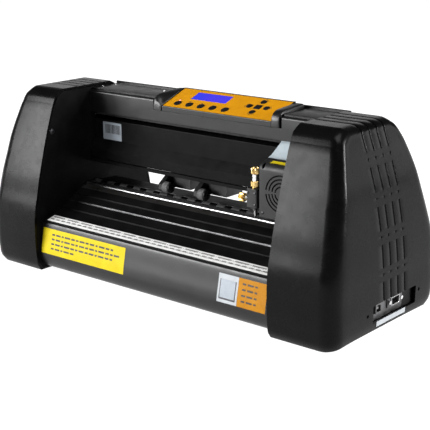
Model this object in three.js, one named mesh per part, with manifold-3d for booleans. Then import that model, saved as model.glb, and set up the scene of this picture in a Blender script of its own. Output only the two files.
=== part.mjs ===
// Desktop vinyl cutter: a drag-knife plotter for rolls of film up to 375 mm wide.
// Millimetres, +Z up, front towards -Y, origin at the centre of the base.
import * as THREE from 'three';
import { mergeVertices } from 'three/addons/utils/BufferGeometryUtils.js';
import Module from 'manifold-3d';

const wasm = await Module();
wasm.setup();

// ---------- driving dimensions ----------
const GAP = 0.3; // clearance left between neighbouring pieces
const SPAN = 190; // half the clear width between the end covers
const PLATE = 2; // side plate thickness
const FOOT = 1.7; // height of the rubber feet
const FEET = { x: 240, y: 78, radius: 9 };
const SHEET = 1.6; // thickness of the folded sheets

// End covers: height, front edge, rear edge and outer side of each level
const COVER_LEVELS = [
  [2, -103, 97, 275.5],
  [8, -107.5, 105, 277],
  [20, -109.5, 109.5, 277.8],
  [55, -111, 111, 278],
  [82, -109, 109, 277.5],
  [103, -104, 104, 276.5],
  [125, -99, 96.5, 274.5],
  [150, -92, 88, 271.5],
  [175, -84.5, 78.5, 268],
  [200, -76, 68, 262],
  [219, -68.5, 57.5, 257],
  [231, -61, 46, 253.5],
  [236, -51, 35, 252],
];
const COVER_BOTTOM = 2;
const COVER_TOP = 236;
const COVER_HALF_DEPTH = 111;
const COVER_WALL = 3;
const EDGE_LOW = 20; // outer edge rounding over the lower part
const EDGE_TOP = 10; // outer edge rounding at the top
const EDGE_BEND = 150; // height where the rounding starts to shrink
const TOP_SHARE = 0.7; // how much of the rounding shows at the top edge
const BOTTOM_SHARE = 0.27; // how much of it shows at the bottom edge
const EDGE_STEPS = 4;

const GROOVES = 4;
const GROOVE_FIRST = -24.5; // first groove on the top, from the centre
const GROOVE_PITCH = 14.8;
const GROOVE_LEAN = 0.0725; // how far a groove leans to the rear on its way down
const GROOVE_WIDTH = 2.6;
const GROOVE_DEPTH = 1.2;
const GROOVE_TOP_END = 207; // height where the groove over the top ends
const DASH_TOP = 190.5;
const DASH_LENGTH = 27.5;
const DOT_TOP = 200.5;
const DOT_LENGTH = 3;
const DASH_PERIOD = 43;
const DASHES = 4;
const GROOVE_FLOOR = 240; // the cutters of the side grooves start here
const OUTSIDE = 290; // a place beyond both covers

// Bed: (y, z) lines of the upper faces, and sections
const BASE_SECTION = [
  [-62, 4], [94, 4], [94, 14], [92.2, 14], [92.2, 6], [-60.2, 6], [-60.2, 14], [-62, 14],
];
const APRON_LINE = [
  [-64, 3], [-80, 3.5], [-91, 5.5], [-99, 11], [-103, 22],
  [-102.5, 33], [-99.5, 48], [-96.2, 64.5], [-94.5, 65.8],
];
const PLATEN_LINE = [
  [-95.7, 68.8], [-84, 72], [-62, 78], [-50, 86.2], [-38, 92.9], [-21, 102], [-15, 103.4], [-8, 103.9],
];
const PLATEN_THICK = 2.6;
const PLATEN_RIBS = [[-61, 78.9], [-49, 87], [-37.6, 93.3]];
const RIB_SECTION = [[-1, -1.2], [1, -0.4], [0.5, 1.3], [-0.6, 0.8]];
const KERB_SECTION = [[-18, 101], [-14, 101], [-14, 104.6], [-17, 104.2]];
const RULER_LINE = [[-94.4, 70], [-81.5, 73.6]];
const RULER_THICK = 0.5;
const RULER_HALF = 183; // half its length
const GUIDE_LINE = [[8.2, 104], [40, 102.5], [66, 93.5], [84, 77], [93, 57], [97, 32], [97, 8]];

// Beam that carries the cutting carriage
const BEAM = { front: 3, nose: -5, rear: 46, bottom: 137, top: 190, wall: 2.5 };
const NOSE_TOP = 150.5;
const NOSE_BEND = 162;
const RAIL = { front: -7, rear: -3, bottom: 132.5, top: 136.5 };
const FASCIA = { face: -3, top: 231.2, shoulderRound: 3.2 };
const FASCIA_SKIN = [ // from the foot of the rear wall up over its rim, and along the top to the step
  [50, 152], [50, 234.5], [47.5, 234.5], [47.5, 231.2], [2.2, 231.2], [2.2, 228.4],
];
const FASCIA_LINING = [[-0.5, 200], [-0.5, 225.2], [3.2, 225.9], [4.2, 228.7], [47.5, 228.7], [47.5, 152]];

// Operating console, sunk into the top cover
const CONSOLE = { left: -74, right: 126.2, front: -4.2, rear: 45.5, bottom: 214.5, wall: 2, seam: 2.4 };
const CHEEK_SECTION = [ // raised ends of the console, beside the key panel
  [-4.2, 214.5], [45.5, 214.5], [45.5, 235.2], [43.5, 236.7], [26, 235.5], [15, 234.8],
  [6, 234.1], [2.1, 232.9], [-0.8, 230.8], [-3.2, 227.3], [-4.2, 222],
];
const CHEEKS = [[CONSOLE.left, -60.4], [114.1, CONSOLE.right]];
const PANEL = { left: -58.6, right: 113.7, y: -2.6, z: 221.25, length: 46.7, thick: 0.8 };
const PANEL_SLOPE = THREE.MathUtils.degToRad(20.3);
const KEY_RADIUS = 5;
const KEY_ROW = 0.217; // place of the key row across the panel
const KEY_COLUMNS = [0.1, 0.21, 0.32, 0.43, 0.545];
const PAD = { u: 0.775, v: 0.55, reachX: 13, reachY: 12.4, radius: 4, centre: 9 };
const PAD_PLACES = { up: [0, 1], down: [0, -1], left: [-1, 0], right: [1, 0] };
const LCD = { u0: 0.16, u1: 0.487, v0: 0.51, v1: 0.89 };
const KEY_PROUD = 1;
const KEY_DEPTH = 5;
const WELL = { inset: 3, front: 8, rear: 16 }; // room for the display board under the panel

// Feed drive and pinch wheels
const SHAFT = { y: 0, z: 101, radius: 6, end: 4 };
const WHEEL = { radius: 7.4, width: 12.5, z: 114.7, pin: 2 };
const WHEEL_LEFTS = [-60, 0];
const LIFT = { y: 40, z: 126, radius: 3 };
const ARM_BLOCK = { left: -1, right: 32, front: 13, rear: 45, bottom: 112.5, top: 131 };
const LEVER = { x0: -172, x1: -165, reach: 42, rise: 4, half: 3.1, knob: 6, hub: 6.2 };
const FEED_PULLEY = 22;
const MOTOR_PULLEY = 8;
const FEED_BELT_X = 196;
const BELT_WIDTH = 6;
const BELT_THICK = 1.4;
const FEED_MOTOR = { y: 36, z: 66 };

// Carriage drive
const PULLEY = { radius: 8.6, y: 22, z: 193.5, right: 217, left: -207, axle: 2.5, stub: 5.5 };
const BRACKET = { half: 12, reach: 14, thick: 2, height: 22 }; // carries the idler pulley
const BELT_HOLE = 16; // half width of the belt's hole in the side plates
const MOTOR = 40; // width of both motors
const MOTOR_LENGTH = 38;

// Carriage
const CASE = { left: 125, right: 187, front: -40, rear: -11.5, bottom: 116, top: 184.5, wall: 1.8 };
const CASE_ROUND = 9;
const CASE_BROW = 180.5; // height of the case just behind its rounded front edge
const LOUVRE = { x: 156, z: 147, first: 7.5, pitch: 4.4, width: 1.8, rings: 4, bridge: 0.12 };
const COIL = { x: 154, z: 146, radius: 12, front: -34, rear: -10.4 };
const SADDLE_SECTION = [ // under the rail, up the front of the beam, over it and up to the belt
  [-1.5, 129.4], [-1.5, 132], [-7.6, 132], [-7.6, 168], [-2.2, 188], [-2.2, 191.2], [11.6, 191.2],
  [11.6, 197.4], [9.8, 197.4], [9.8, 193.4], [-4.6, 193.4], [-4.6, 188.4], [-10, 168.6], [-10, 129.4],
];
const CABLE_LINE = [[-25, 184], [-19, 186], [-7, 193.5], [0.2, 198.6], [0.6, 203], [1, 212]];
const CABLE_THICK = 0.7;
const HOLDER_PROFILE = [ // radius and height of the blade holder
  [0, 109], [1.2, 109.6], [2.4, 113], [2.4, 118], [4.4, 122], [4.4, 147.5], [5.4, 148],
  [5.4, 154], [4.2, 154.6], [4.2, 162], [5, 162.6], [5, 169], [3.8, 171], [0, 171],
];
const TOOL = { x: 110, y: -28, bottom: 123, top: 146, radius: 4.4, screw: 131.5 };

// Sockets
const WINDOW_FLOOR = 265; // inner end of the cutters of the windows in the covers
const PORTS = { front: -32, rear: 59, bottom: 17, top: 38, plate: 271.8 };
const PORT_PLATE = 1.2; // thickness of the metal plate behind the recess
const SOCKET_REAR = 256; // inner end of the sockets, from the middle of the machine
const PORT_FACE = 274.6;
const USB = { y: -15.5, z: 30.2, width: 12, height: 11, mouthWidth: 8.6, mouthHeight: 7.8 };
const SERIAL = { y: 20.5, z: 30.2, width: 30.8, height: 12.5, mouthWidth: 17, mouthHeight: 8.4 };
const SLOT = { y: -26.4, width: 3.4, bottom: 27.5, top: 36.5 };
const BOARD_TOP = 23.6;
const INLET = { y: 40, z: 52, width: 27, height: 20, mouthWidth: 24, mouthHeight: 16 };
const SWITCH = { y: 70, z: 52, width: 13, height: 19, play: 1.3 };

// ---------- materials ----------
const paint = (color, roughness, metalness = 0) => (
  new THREE.MeshStandardMaterial({ color, roughness, metalness })
);
const COLOURS = {
  shell: paint(0x1b1c1e, 0.42),
  plate: paint(0x141516, 0.5, 0.3),
  steel: paint(0xb9bcc0, 0.35, 1),
  aluminium: paint(0x2a2b2d, 0.4, 0.6),
  orange: paint(0xd89a06, 0.45),
  lcd: paint(0x3b46f0, 0.2),
  rubber: paint(0x1a1a1a, 0.85),
  brass: paint(0xd1a64a, 0.3, 1),
  white: paint(0xe8e8e4, 0.6),
  board: paint(0x1d5a34, 0.6),
  ribbon: paint(0xc3ccd0, 0.5),
};

// ---------- solids ----------
function solid(geometry) {
  const bare = geometry.index ? geometry.clone() : geometry;
  bare.deleteAttribute('normal');
  bare.deleteAttribute('uv');
  const merged = mergeVertices(bare, 1e-4);
  return new wasm.Manifold(new wasm.Mesh({
    numProp: 3,
    vertProperties: new Float32Array(merged.attributes.position.array),
    triVerts: new Uint32Array(merged.index.array),
  }));
}

function geometryOf(manifold) {
  const mesh = manifold.getMesh();
  const geometry = new THREE.BufferGeometry();
  geometry.setAttribute('position', new THREE.BufferAttribute(new Float32Array(mesh.vertProperties), 3));
  geometry.setIndex(new THREE.BufferAttribute(new Uint32Array(mesh.triVerts), 1));
  geometry.computeVertexNormals();
  return geometry;
}

const join = (first, ...rest) => rest.reduce((sum, next) => sum.add(next), first);
const cut = (first, ...rest) => rest.reduce((sum, next) => sum.subtract(next), first);

const group = new THREE.Group();

function piece(name, shape, material, parent = group) {
  const geometry = shape.isBufferGeometry ? shape : geometryOf(shape);
  const mesh = new THREE.Mesh(geometry, COLOURS[material]);
  mesh.name = name;
  parent.add(mesh);
  return mesh;
}

function box(x0, x1, y0, y1, z0, z1) {
  const geometry = new THREE.BoxGeometry(x1 - x0, y1 - y0, z1 - z0);
  geometry.translate((x0 + x1) / 2, (y0 + y1) / 2, (z0 + z1) / 2);
  return solid(geometry);
}

function outline(points) {
  return new THREE.Shape(points.map(([u, v]) => new THREE.Vector2(u, v)));
}

const FLAT = { bevelEnabled: false, curveSegments: 6 };
const ALONG_X = new THREE.Matrix4().makeBasis(
  new THREE.Vector3(0, 1, 0),
  new THREE.Vector3(0, 0, 1),
  new THREE.Vector3(1, 0, 0),
);
const ALONG_Y = new THREE.Matrix4().makeBasis(
  new THREE.Vector3(1, 0, 0),
  new THREE.Vector3(0, 0, 1),
  new THREE.Vector3(0, -1, 0),
);

// A (y, z) section run along X
function alongX(shape, x0, x1) {
  const geometry = new THREE.ExtrudeGeometry(shape, { ...FLAT, depth: x1 - x0 });
  geometry.applyMatrix4(ALONG_X);
  geometry.translate(x0, 0, 0);
  return solid(geometry);
}

// An (x, z) section run along Y
function alongY(shape, y0, y1) {
  const geometry = new THREE.ExtrudeGeometry(shape, { ...FLAT, depth: y1 - y0 });
  geometry.applyMatrix4(ALONG_Y);
  geometry.translate(0, y1, 0);
  return solid(geometry);
}

// An (x, y) section run along Z
function alongZ(shape, z0, z1) {
  const geometry = new THREE.ExtrudeGeometry(shape, { ...FLAT, depth: z1 - z0 });
  geometry.translate(0, 0, z0);
  return solid(geometry);
}

function disc(centreU, centreV, radius) {
  const shape = new THREE.Shape();
  shape.absarc(centreU, centreV, radius, 0, 2 * Math.PI, false);
  return shape;
}

const rodX = (y, z, radius, x0, x1) => alongX(disc(y, z, radius), x0, x1);
const rodY = (x, z, radius, y0, y1) => alongY(disc(x, z, radius), y0, y1);
const rodZ = (x, y, radius, z0, z1) => alongZ(disc(x, y, radius), z0, z1);

// A sheet of even thickness that hangs below a line of points
function sheet(points, thick, x0, x1) {
  const below = points.map((point, i) => {
    const before = points[Math.max(i - 1, 0)];
    const after = points[Math.min(i + 1, points.length - 1)];
    const run = Math.hypot(after[0] - before[0], after[1] - before[1]);
    const u = (after[0] - before[0]) / run;
    const v = (after[1] - before[1]) / run;
    return [point[0] + v * thick, point[1] - u * thick];
  });
  return alongX(outline([...points, ...below.reverse()]), x0, x1);
}

// ---------- end covers ----------
function edgeRadius(z) {
  const fade = THREE.MathUtils.clamp((z - EDGE_BEND) / (COVER_TOP - EDGE_BEND), 0, 1);
  return THREE.MathUtils.lerp(EDGE_LOW, EDGE_TOP, fade);
}

function coverRing(side, wall, turn, x0) {
  const place = ([z, front, rear, outer], isFront) => {
    const radius = edgeRadius(z);
    const shrink = radius * (1 - Math.cos(turn)) + wall;
    const rise = (z - COVER_BOTTOM) / (COVER_TOP - COVER_BOTTOM);
    const bend = shrink - wall;
    const drop = rise * (TOP_SHARE * bend + wall) - (1 - rise) * (BOTTOM_SHARE * bend + wall);
    const y = (isFront ? front : rear) * (1 - shrink / COVER_HALF_DEPTH);
    const x = x0 === undefined ? outer - wall - radius * (1 - Math.sin(turn)) : x0;
    return new THREE.Vector3(side * x, y, z - drop);
  };
  const front = COVER_LEVELS.map((level) => place(level, true));
  const rear = COVER_LEVELS.map((level) => place(level, false));
  return [...front, ...rear.reverse()];
}

// Skin through equal rings, each end closed by strips between its two flanks
function loft(rings) {
  const count = rings[0].length;
  const positions = rings.flat().flatMap((point) => point.toArray());
  const faces = [];
  const quad = (a, b, c, d) => faces.push(a, c, b, a, d, c);
  for (let ring = 0; ring < rings.length - 1; ring += 1) {
    for (let i = 0; i < count; i += 1) {
      const next = (i + 1) % count;
      const low = ring * count;
      const high = low + count;
      quad(low + i, low + next, high + next, high + i);
    }
  }
  const last = (rings.length - 1) * count;
  for (let i = 0; i < count / 2 - 1; i += 1) {
    const far = count - 1 - i;
    quad(i, far, far - 1, i + 1);
    quad(last + i, last + i + 1, last + far - 1, last + far);
  }
  const geometry = new THREE.BufferGeometry();
  geometry.setAttribute('position', new THREE.Float32BufferAttribute(positions, 3));
  geometry.setIndex(faces);
  return geometry;
}

function coverForm(side, wall) {
  const start = wall > 0 ? SPAN - 1 : SPAN;
  const rings = [coverRing(side, wall, 0, start)];
  for (let step = 0; step <= EDGE_STEPS; step += 1) {
    rings.push(coverRing(side, wall, (step / EDGE_STEPS) * (Math.PI / 2)));
  }
  return solid(loft(side > 0 ? rings : rings.reverse()));
}

function grooveStrip(side, index, z0, z1, x0) {
  const middle = (z) => GROOVE_FIRST + index * GROOVE_PITCH + (COVER_TOP - z) * GROOVE_LEAN;
  const half = GROOVE_WIDTH / 2;
  const section = outline([
    [middle(z0) - half, z0],
    [middle(z0) + half, z0],
    [middle(z1) + half, z1],
    [middle(z1) - half, z1],
  ]);
  return side > 0 ? alongX(section, x0, OUTSIDE) : alongX(section, -OUTSIDE, -x0);
}

function grooves(side) {
  const strips = [];
  for (let index = 0; index < GROOVES; index += 1) {
    strips.push(grooveStrip(side, index, GROOVE_TOP_END, COVER_TOP + 4, SPAN - 1));
    for (let k = 0; k < DASHES; k += 1) {
      const drop = k * DASH_PERIOD;
      strips.push(grooveStrip(side, index, DOT_TOP - DOT_LENGTH - drop, DOT_TOP - drop, GROOVE_FLOOR));
      strips.push(grooveStrip(side, index, DASH_TOP - DASH_LENGTH - drop, DASH_TOP - drop, GROOVE_FLOOR));
    }
  }
  return cut(join(...strips), coverForm(side, GROOVE_DEPTH));
}

function endCover(side, ...windows) {
  return cut(coverForm(side, 0), coverForm(side, COVER_WALL), grooves(side), ...windows);
}

function sidePlate(side) {
  const ring = coverRing(1, COVER_WALL + GAP * 2, 0, SPAN);
  const section = outline(ring.map((point) => [point.y, point.z]));
  const x0 = side > 0 ? SPAN + GAP : -SPAN - GAP - PLATE;
  const beltHole = box(
    -OUTSIDE, OUTSIDE, PULLEY.y - BELT_HOLE, PULLEY.y + BELT_HOLE,
    PULLEY.z - 4, PULLEY.z + 10,
  );
  const shaftHole = rodX(SHAFT.y, SHAFT.z, SHAFT.end + GAP * 2, -OUTSIDE, OUTSIDE);
  return cut(alongX(section, x0, x0 + PLATE), beltHole, shaftHole);
}

const portWindow = box(WINDOW_FLOOR, OUTSIDE, PORTS.front, PORTS.rear, PORTS.bottom, PORTS.top);
const inletWindow = box(
  -OUTSIDE, -WINDOW_FLOOR,
  INLET.y - INLET.width / 2 - GAP, INLET.y + INLET.width / 2 + GAP,
  INLET.z - INLET.height / 2 - GAP, INLET.z + INLET.height / 2 + GAP,
);
const switchWindow = box(
  -OUTSIDE, -WINDOW_FLOOR,
  SWITCH.y - SWITCH.width / 2 - GAP, SWITCH.y + SWITCH.width / 2 + GAP,
  SWITCH.z - SWITCH.height / 2 - SWITCH.play, SWITCH.z + SWITCH.height / 2 + SWITCH.play,
);
piece('left_end_cover', endCover(-1, inletWindow, switchWindow), 'shell');
piece('right_end_cover', endCover(1, portWindow), 'shell');
piece('left_side_plate', sidePlate(-1), 'plate');
piece('right_side_plate', sidePlate(1), 'plate');

for (const [sideY, row] of [[-1, 'front'], [1, 'rear']]) {
  for (const [sideX, end] of [[-1, 'left'], [1, 'right']]) {
    piece(`foot_${row}_${end}`, rodZ(sideX * FEET.x, sideY * FEET.y, FEET.radius, 0, FOOT), 'rubber');
  }
}

// ---------- bed ----------
const INNER = SPAN - GAP / 2;

piece('base_pan', alongX(outline(BASE_SECTION), -INNER, INNER), 'plate');
piece('front_apron', sheet(APRON_LINE, SHEET, -INNER, INNER), 'shell');

function platen() {
  const bed = sheet(PLATEN_LINE, PLATEN_THICK, -INNER, INNER);
  const ribs = PLATEN_RIBS.map(([y, z]) => {
    const crest = RIB_SECTION.map(([dy, dz]) => [y + dy, z + dz]);
    return alongX(outline(crest), -INNER, INNER);
  });
  const kerb = alongX(outline(KERB_SECTION), -INNER, INNER);
  const web = box(-INNER, INNER, -12, -9, 86, 102.8);
  return join(bed, ...ribs, kerb, web);
}
piece('platen', platen(), 'aluminium');
piece('cutting_strip', box(-SPAN + 4, SPAN - 4, -12.6, -8.6, 104.2, 105.7), 'white');
piece('ruler_strip', sheet(RULER_LINE, RULER_THICK, -RULER_HALF, RULER_HALF), 'white');
piece('rear_guide', sheet(GUIDE_LINE, SHEET, -INNER, INNER), 'plate');

// ---------- beam and covers ----------
function beamSection(wall) {
  return outline([
    [BEAM.front + wall, BEAM.top - wall],
    [BEAM.front + wall, NOSE_BEND + wall * 0.4],
    [BEAM.nose + wall, NOSE_TOP - wall * 0.4],
    [BEAM.nose + wall, BEAM.bottom + wall],
    [BEAM.rear - wall, BEAM.bottom + wall],
    [BEAM.rear - wall, BEAM.top - wall],
  ]);
}
piece('main_beam', cut(
  alongX(beamSection(0), -INNER, INNER),
  alongX(beamSection(BEAM.wall), -SPAN - 1, SPAN + 1),
), 'aluminium');
piece('carriage_rail', box(-INNER, INNER, RAIL.front, RAIL.rear, RAIL.bottom, RAIL.top), 'steel');

// A hood open at the bottom; its rear wall reaches down behind the beam
function fasciaSection() {
  const shape = new THREE.Shape(FASCIA_SKIN.map((point) => new THREE.Vector2(...point)));
  const [, shoulder] = FASCIA_SKIN.at(-1);
  const reach = FASCIA.shoulderRound;
  shape.absarc(FASCIA.face + reach, shoulder - reach, reach, Math.PI / 2, Math.PI, false);
  shape.lineTo(FASCIA.face, FASCIA_LINING[0][1]);
  FASCIA_LINING.forEach((point) => shape.lineTo(...point));
  return shape;
}
const consoleNotch = box(
  CONSOLE.left - GAP, CONSOLE.right + CONSOLE.seam,
  FASCIA.face - 5, CONSOLE.rear + GAP, CONSOLE.bottom - GAP, FASCIA.top + 10,
);
piece('top_cover', cut(alongX(fasciaSection(), -INNER, INNER), consoleNotch), 'shell');

// Console frame: u runs along the beam, v up the slope, w out of the panel
const panelFrame = new THREE.Group();
panelFrame.position.set(PANEL.left, PANEL.y, PANEL.z);
panelFrame.rotation.x = PANEL_SLOPE;
group.add(panelFrame);
const PANEL_WIDTH = PANEL.right - PANEL.left;
const onPanel = (u, v) => [u * PANEL_WIDTH, v * PANEL.length];

function consoleHousing() {
  const rise = Math.sin(PANEL_SLOPE);
  const run = Math.cos(PANEL_SLOPE);
  const slopeTop = (s, w) => [PANEL.y + s * run - w * rise, PANEL.z + s * rise + w * run];
  const lip = 0.5;
  const ledge = -PANEL.thick - GAP;
  const skin = outline([
    [CONSOLE.front, CONSOLE.bottom],
    [CONSOLE.rear, CONSOLE.bottom],
    [CONSOLE.rear, slopeTop(PANEL.length, 0)[1] - 4],
    slopeTop(PANEL.length + 1.5, 1),
    slopeTop(PANEL.length + 0.5, lip),
    slopeTop(-0.8, lip),
    [CONSOLE.front, PANEL.z - 1.5],
  ]);
  const above = 9;
  const bed = outline([
    slopeTop(-GAP, ledge),
    slopeTop(PANEL.length + GAP, ledge),
    slopeTop(PANEL.length + GAP, above),
    slopeTop(-GAP, above),
  ]);
  const well = outline([
    slopeTop(WELL.inset, -WELL.front),
    slopeTop(PANEL.length - WELL.inset, -WELL.rear),
    slopeTop(PANEL.length - WELL.inset, above),
    slopeTop(WELL.inset, above),
  ]);
  const inside = { front: CONSOLE.front + CONSOLE.wall, rear: CONSOLE.rear - CONSOLE.wall };
  const hollow = outline([
    [inside.front, CONSOLE.bottom - 1],
    [inside.rear, CONSOLE.bottom - 1],
    [inside.rear, CONSOLE.bottom + 17],
    [inside.front, CONSOLE.bottom + 3],
  ]);
  const cheeks = CHEEKS.map(([x0, x1]) => alongX(outline(CHEEK_SECTION), x0, x1));
  return cut(
    join(alongX(skin, CHEEKS[0][1] - 1, CHEEKS[1][0] + 1), ...cheeks),
    alongX(bed, PANEL.left - GAP, PANEL.right + GAP),
    alongX(well, PANEL.left + 4, PANEL.right - 4),
    alongX(hollow, CONSOLE.left + CONSOLE.wall, CONSOLE.right - CONSOLE.wall),
  );
}
piece('console_housing', consoleHousing(), 'shell');

function panelOverlay() {
  const blank = box(0, PANEL_WIDTH, 0, PANEL.length, -PANEL.thick, 0);
  const clear = GAP + 0.1;
  const holes = KEY_COLUMNS.map((u) => rodZ(...onPanel(u, KEY_ROW), KEY_RADIUS + clear, -2, 1));
  const [padX, padY] = onPanel(PAD.u, PAD.v);
  for (const [du, dv] of Object.values(PAD_PLACES)) {
    holes.push(rodZ(padX + du * PAD.reachX, padY + dv * PAD.reachY, PAD.radius + clear, -2, 1));
  }
  const half = PAD.centre / 2 + clear;
  holes.push(box(padX - half, padX + half, padY - half, padY + half, -2, 1));
  const [lcdX0, lcdY0] = onPanel(LCD.u0, LCD.v0);
  const [lcdX1, lcdY1] = onPanel(LCD.u1, LCD.v1);
  holes.push(box(lcdX0 - GAP, lcdX1 + GAP, lcdY0 - GAP, lcdY1 + GAP, -2, 1));
  return cut(blank, ...holes);
}
piece('panel_overlay', panelOverlay(), 'orange', panelFrame);

function displayBoard() {
  const [x0, y0] = onPanel(LCD.u0, LCD.v0);
  const [x1, y1] = onPanel(LCD.u1, LCD.v1);
  const board = box(5, PANEL_WIDTH - 5, 4, PANEL.length - 4, -6.9, -5.4);
  return join(board, box(x0, x1, y0, y1, -6, -0.2));
}
piece('display_board', displayBoard(), 'lcd', panelFrame);

function keys() {
  KEY_COLUMNS.forEach((u, i) => {
    const key = rodZ(...onPanel(u, KEY_ROW), KEY_RADIUS, KEY_PROUD - KEY_DEPTH, KEY_PROUD);
    piece(`function_key_${i + 1}`, key, 'rubber', panelFrame);
  });
  const [padX, padY] = onPanel(PAD.u, PAD.v);
  for (const [name, [du, dv]] of Object.entries(PAD_PLACES)) {
    const x = padX + du * PAD.reachX;
    const y = padY + dv * PAD.reachY;
    const key = rodZ(x, y, PAD.radius, KEY_PROUD - KEY_DEPTH, KEY_PROUD);
    piece(`arrow_key_${name}`, key, 'rubber', panelFrame);
  }
  const half = PAD.centre / 2;
  const enter = box(padX - half, padX + half, padY - half, padY + half, KEY_PROUD - KEY_DEPTH, KEY_PROUD);
  piece('enter_key', enter, 'rubber', panelFrame);
}
keys();

// ---------- carriage drive ----------
// A belt round two circles of one plane, each [u, v, radius]
function beltLoop([[ua, va, ra], [ub, vb, rb]], thick) {
  const reach = Math.hypot(ub - ua, vb - va);
  const along = Math.atan2(vb - va, ub - ua);
  const tilt = Math.acos((ra - rb) / reach);
  const ring = (extra) => {
    const path = new THREE.Shape();
    path.absarc(ua, va, ra + extra, along + tilt, along + 2 * Math.PI - tilt, false);
    path.absarc(ub, vb, rb + extra, along - tilt, along + tilt, false);
    path.closePath();
    return path;
  };
  const belt = ring(thick);
  belt.holes.push(new THREE.Path(ring(0).getPoints(6)));
  return belt;
}

piece('carriage_belt', alongZ(beltLoop([
  [PULLEY.left, PULLEY.y, PULLEY.radius + GAP],
  [PULLEY.right, PULLEY.y, PULLEY.radius + GAP],
], BELT_THICK), PULLEY.z, PULLEY.z + BELT_WIDTH), 'rubber');

function pulleyUpright(x) {
  return join(
    rodZ(x, PULLEY.y, PULLEY.radius, PULLEY.z - 0.8, PULLEY.z + BELT_WIDTH + 0.8),
    rodZ(x, PULLEY.y, PULLEY.axle, PULLEY.z - PULLEY.stub, PULLEY.z),
  );
}
piece('drive_pulley', pulleyUpright(PULLEY.right), 'aluminium');
piece('idler_pulley', pulleyUpright(PULLEY.left), 'aluminium');

const motorTop = PULLEY.z - PULLEY.stub - GAP;
piece('carriage_motor', box(
  PULLEY.right - MOTOR / 2, PULLEY.right + MOTOR / 2,
  PULLEY.y - MOTOR / 2, PULLEY.y + MOTOR / 2, motorTop - MOTOR_LENGTH, motorTop,
), 'plate');
const bracketX = -SPAN - PLATE - 2 * GAP;
const bracketY = [PULLEY.y - BRACKET.half, PULLEY.y + BRACKET.half];
piece('idler_bracket', join(
  box(PULLEY.left - BRACKET.reach, bracketX, ...bracketY, motorTop - BRACKET.thick, motorTop),
  box(bracketX - BRACKET.thick, bracketX, ...bracketY, motorTop - BRACKET.height, motorTop),
), 'steel');

// ---------- carriage ----------
piece('carriage_plate', join(
  alongX(outline(SADDLE_SECTION), CASE.left + 4, CASE.right - 5),
  box(CASE.left + 2.5, CASE.right - 2.5, -10, -7.6, 129.4, 166),
), 'aluminium');

function caseSection(wall) {
  const shape = new THREE.Shape();
  const front = CASE.front + wall;
  const brow = CASE_BROW - wall;
  const round = CASE_ROUND - wall;
  const rear = CASE.rear + (wall > 0 ? 1 : 0);
  shape.moveTo(front, CASE.bottom + wall);
  shape.lineTo(rear, CASE.bottom + wall);
  shape.lineTo(rear, CASE.top - wall);
  shape.lineTo(front + round, brow);
  shape.absarc(front + round, brow - round, round, Math.PI / 2, Math.PI, false);
  return shape;
}

function louvre() {
  const slots = [];
  for (let ring = 0; ring < LOUVRE.rings; ring += 1) {
    const inner = LOUVRE.first + ring * LOUVRE.pitch;
    const outer = inner + LOUVRE.width;
    for (const start of [0, Math.PI]) {
      const from = start + LOUVRE.bridge;
      const to = start + Math.PI - LOUVRE.bridge;
      const slot = new THREE.Shape();
      slot.absarc(LOUVRE.x, LOUVRE.z, outer, from, to, false);
      slot.absarc(LOUVRE.x, LOUVRE.z, inner, to, from, true);
      slots.push(alongY(slot, CASE.front - 1, CASE.front + CASE.wall + 1));
    }
  }
  return join(...slots);
}
piece('carriage_cover', cut(
  alongX(caseSection(0), CASE.left, CASE.right),
  alongX(caseSection(CASE.wall), CASE.left + CASE.wall, CASE.right - CASE.wall),
  louvre(),
), 'shell');
piece('tool_coil', rodY(COIL.x, COIL.z, COIL.radius, COIL.front, COIL.rear), 'steel');

function toolSlide() {
  const clamp = box(TOOL.x - 8, TOOL.x + 8, TOOL.y - 8, TOOL.y + 9, TOOL.bottom, TOOL.top);
  const tongue = box(TOOL.x + 7, CASE.left - 1, TOOL.y + 4, TOOL.y + 9, TOOL.bottom + 2, TOOL.top);
  const bore = rodZ(TOOL.x, TOOL.y, TOOL.radius + GAP, TOOL.bottom - 1, TOOL.top + 1);
  const tapped = rodX(TOOL.y, TOOL.screw, 1.8, TOOL.x - 10, TOOL.x - TOOL.radius);
  return cut(join(clamp, tongue), bore, tapped);
}
piece('tool_slide', toolSlide(), 'shell');

function bladeHolder() {
  const profile = HOLDER_PROFILE.map(([radius, z]) => new THREE.Vector2(radius, z));
  const geometry = new THREE.LatheGeometry(profile, 16);
  geometry.rotateX(Math.PI / 2);
  geometry.translate(TOOL.x, TOOL.y, 0);
  return solid(geometry);
}
piece('blade_holder', bladeHolder(), 'brass');
piece('clamp_screw', join(
  rodX(TOOL.y, TOOL.screw, 5.4, TOOL.x - 23, TOOL.x - 15),
  rodX(TOOL.y, TOOL.screw, 1.5, TOOL.x - 16, TOOL.x - TOOL.radius - 2 * GAP),
), 'brass');

piece('ribbon_cable', sheet(CABLE_LINE, CABLE_THICK, CASE.left + 1, CASE.right - 3), 'ribbon');

// ---------- feed drive ----------
piece('feed_shaft', join(
  rodX(SHAFT.y, SHAFT.z, SHAFT.radius, -SPAN + 3, SPAN - 3),
  rodX(SHAFT.y, SHAFT.z, SHAFT.end, -SPAN - 10, FEED_BELT_X + BELT_WIDTH + 2),
), 'steel');

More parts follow.
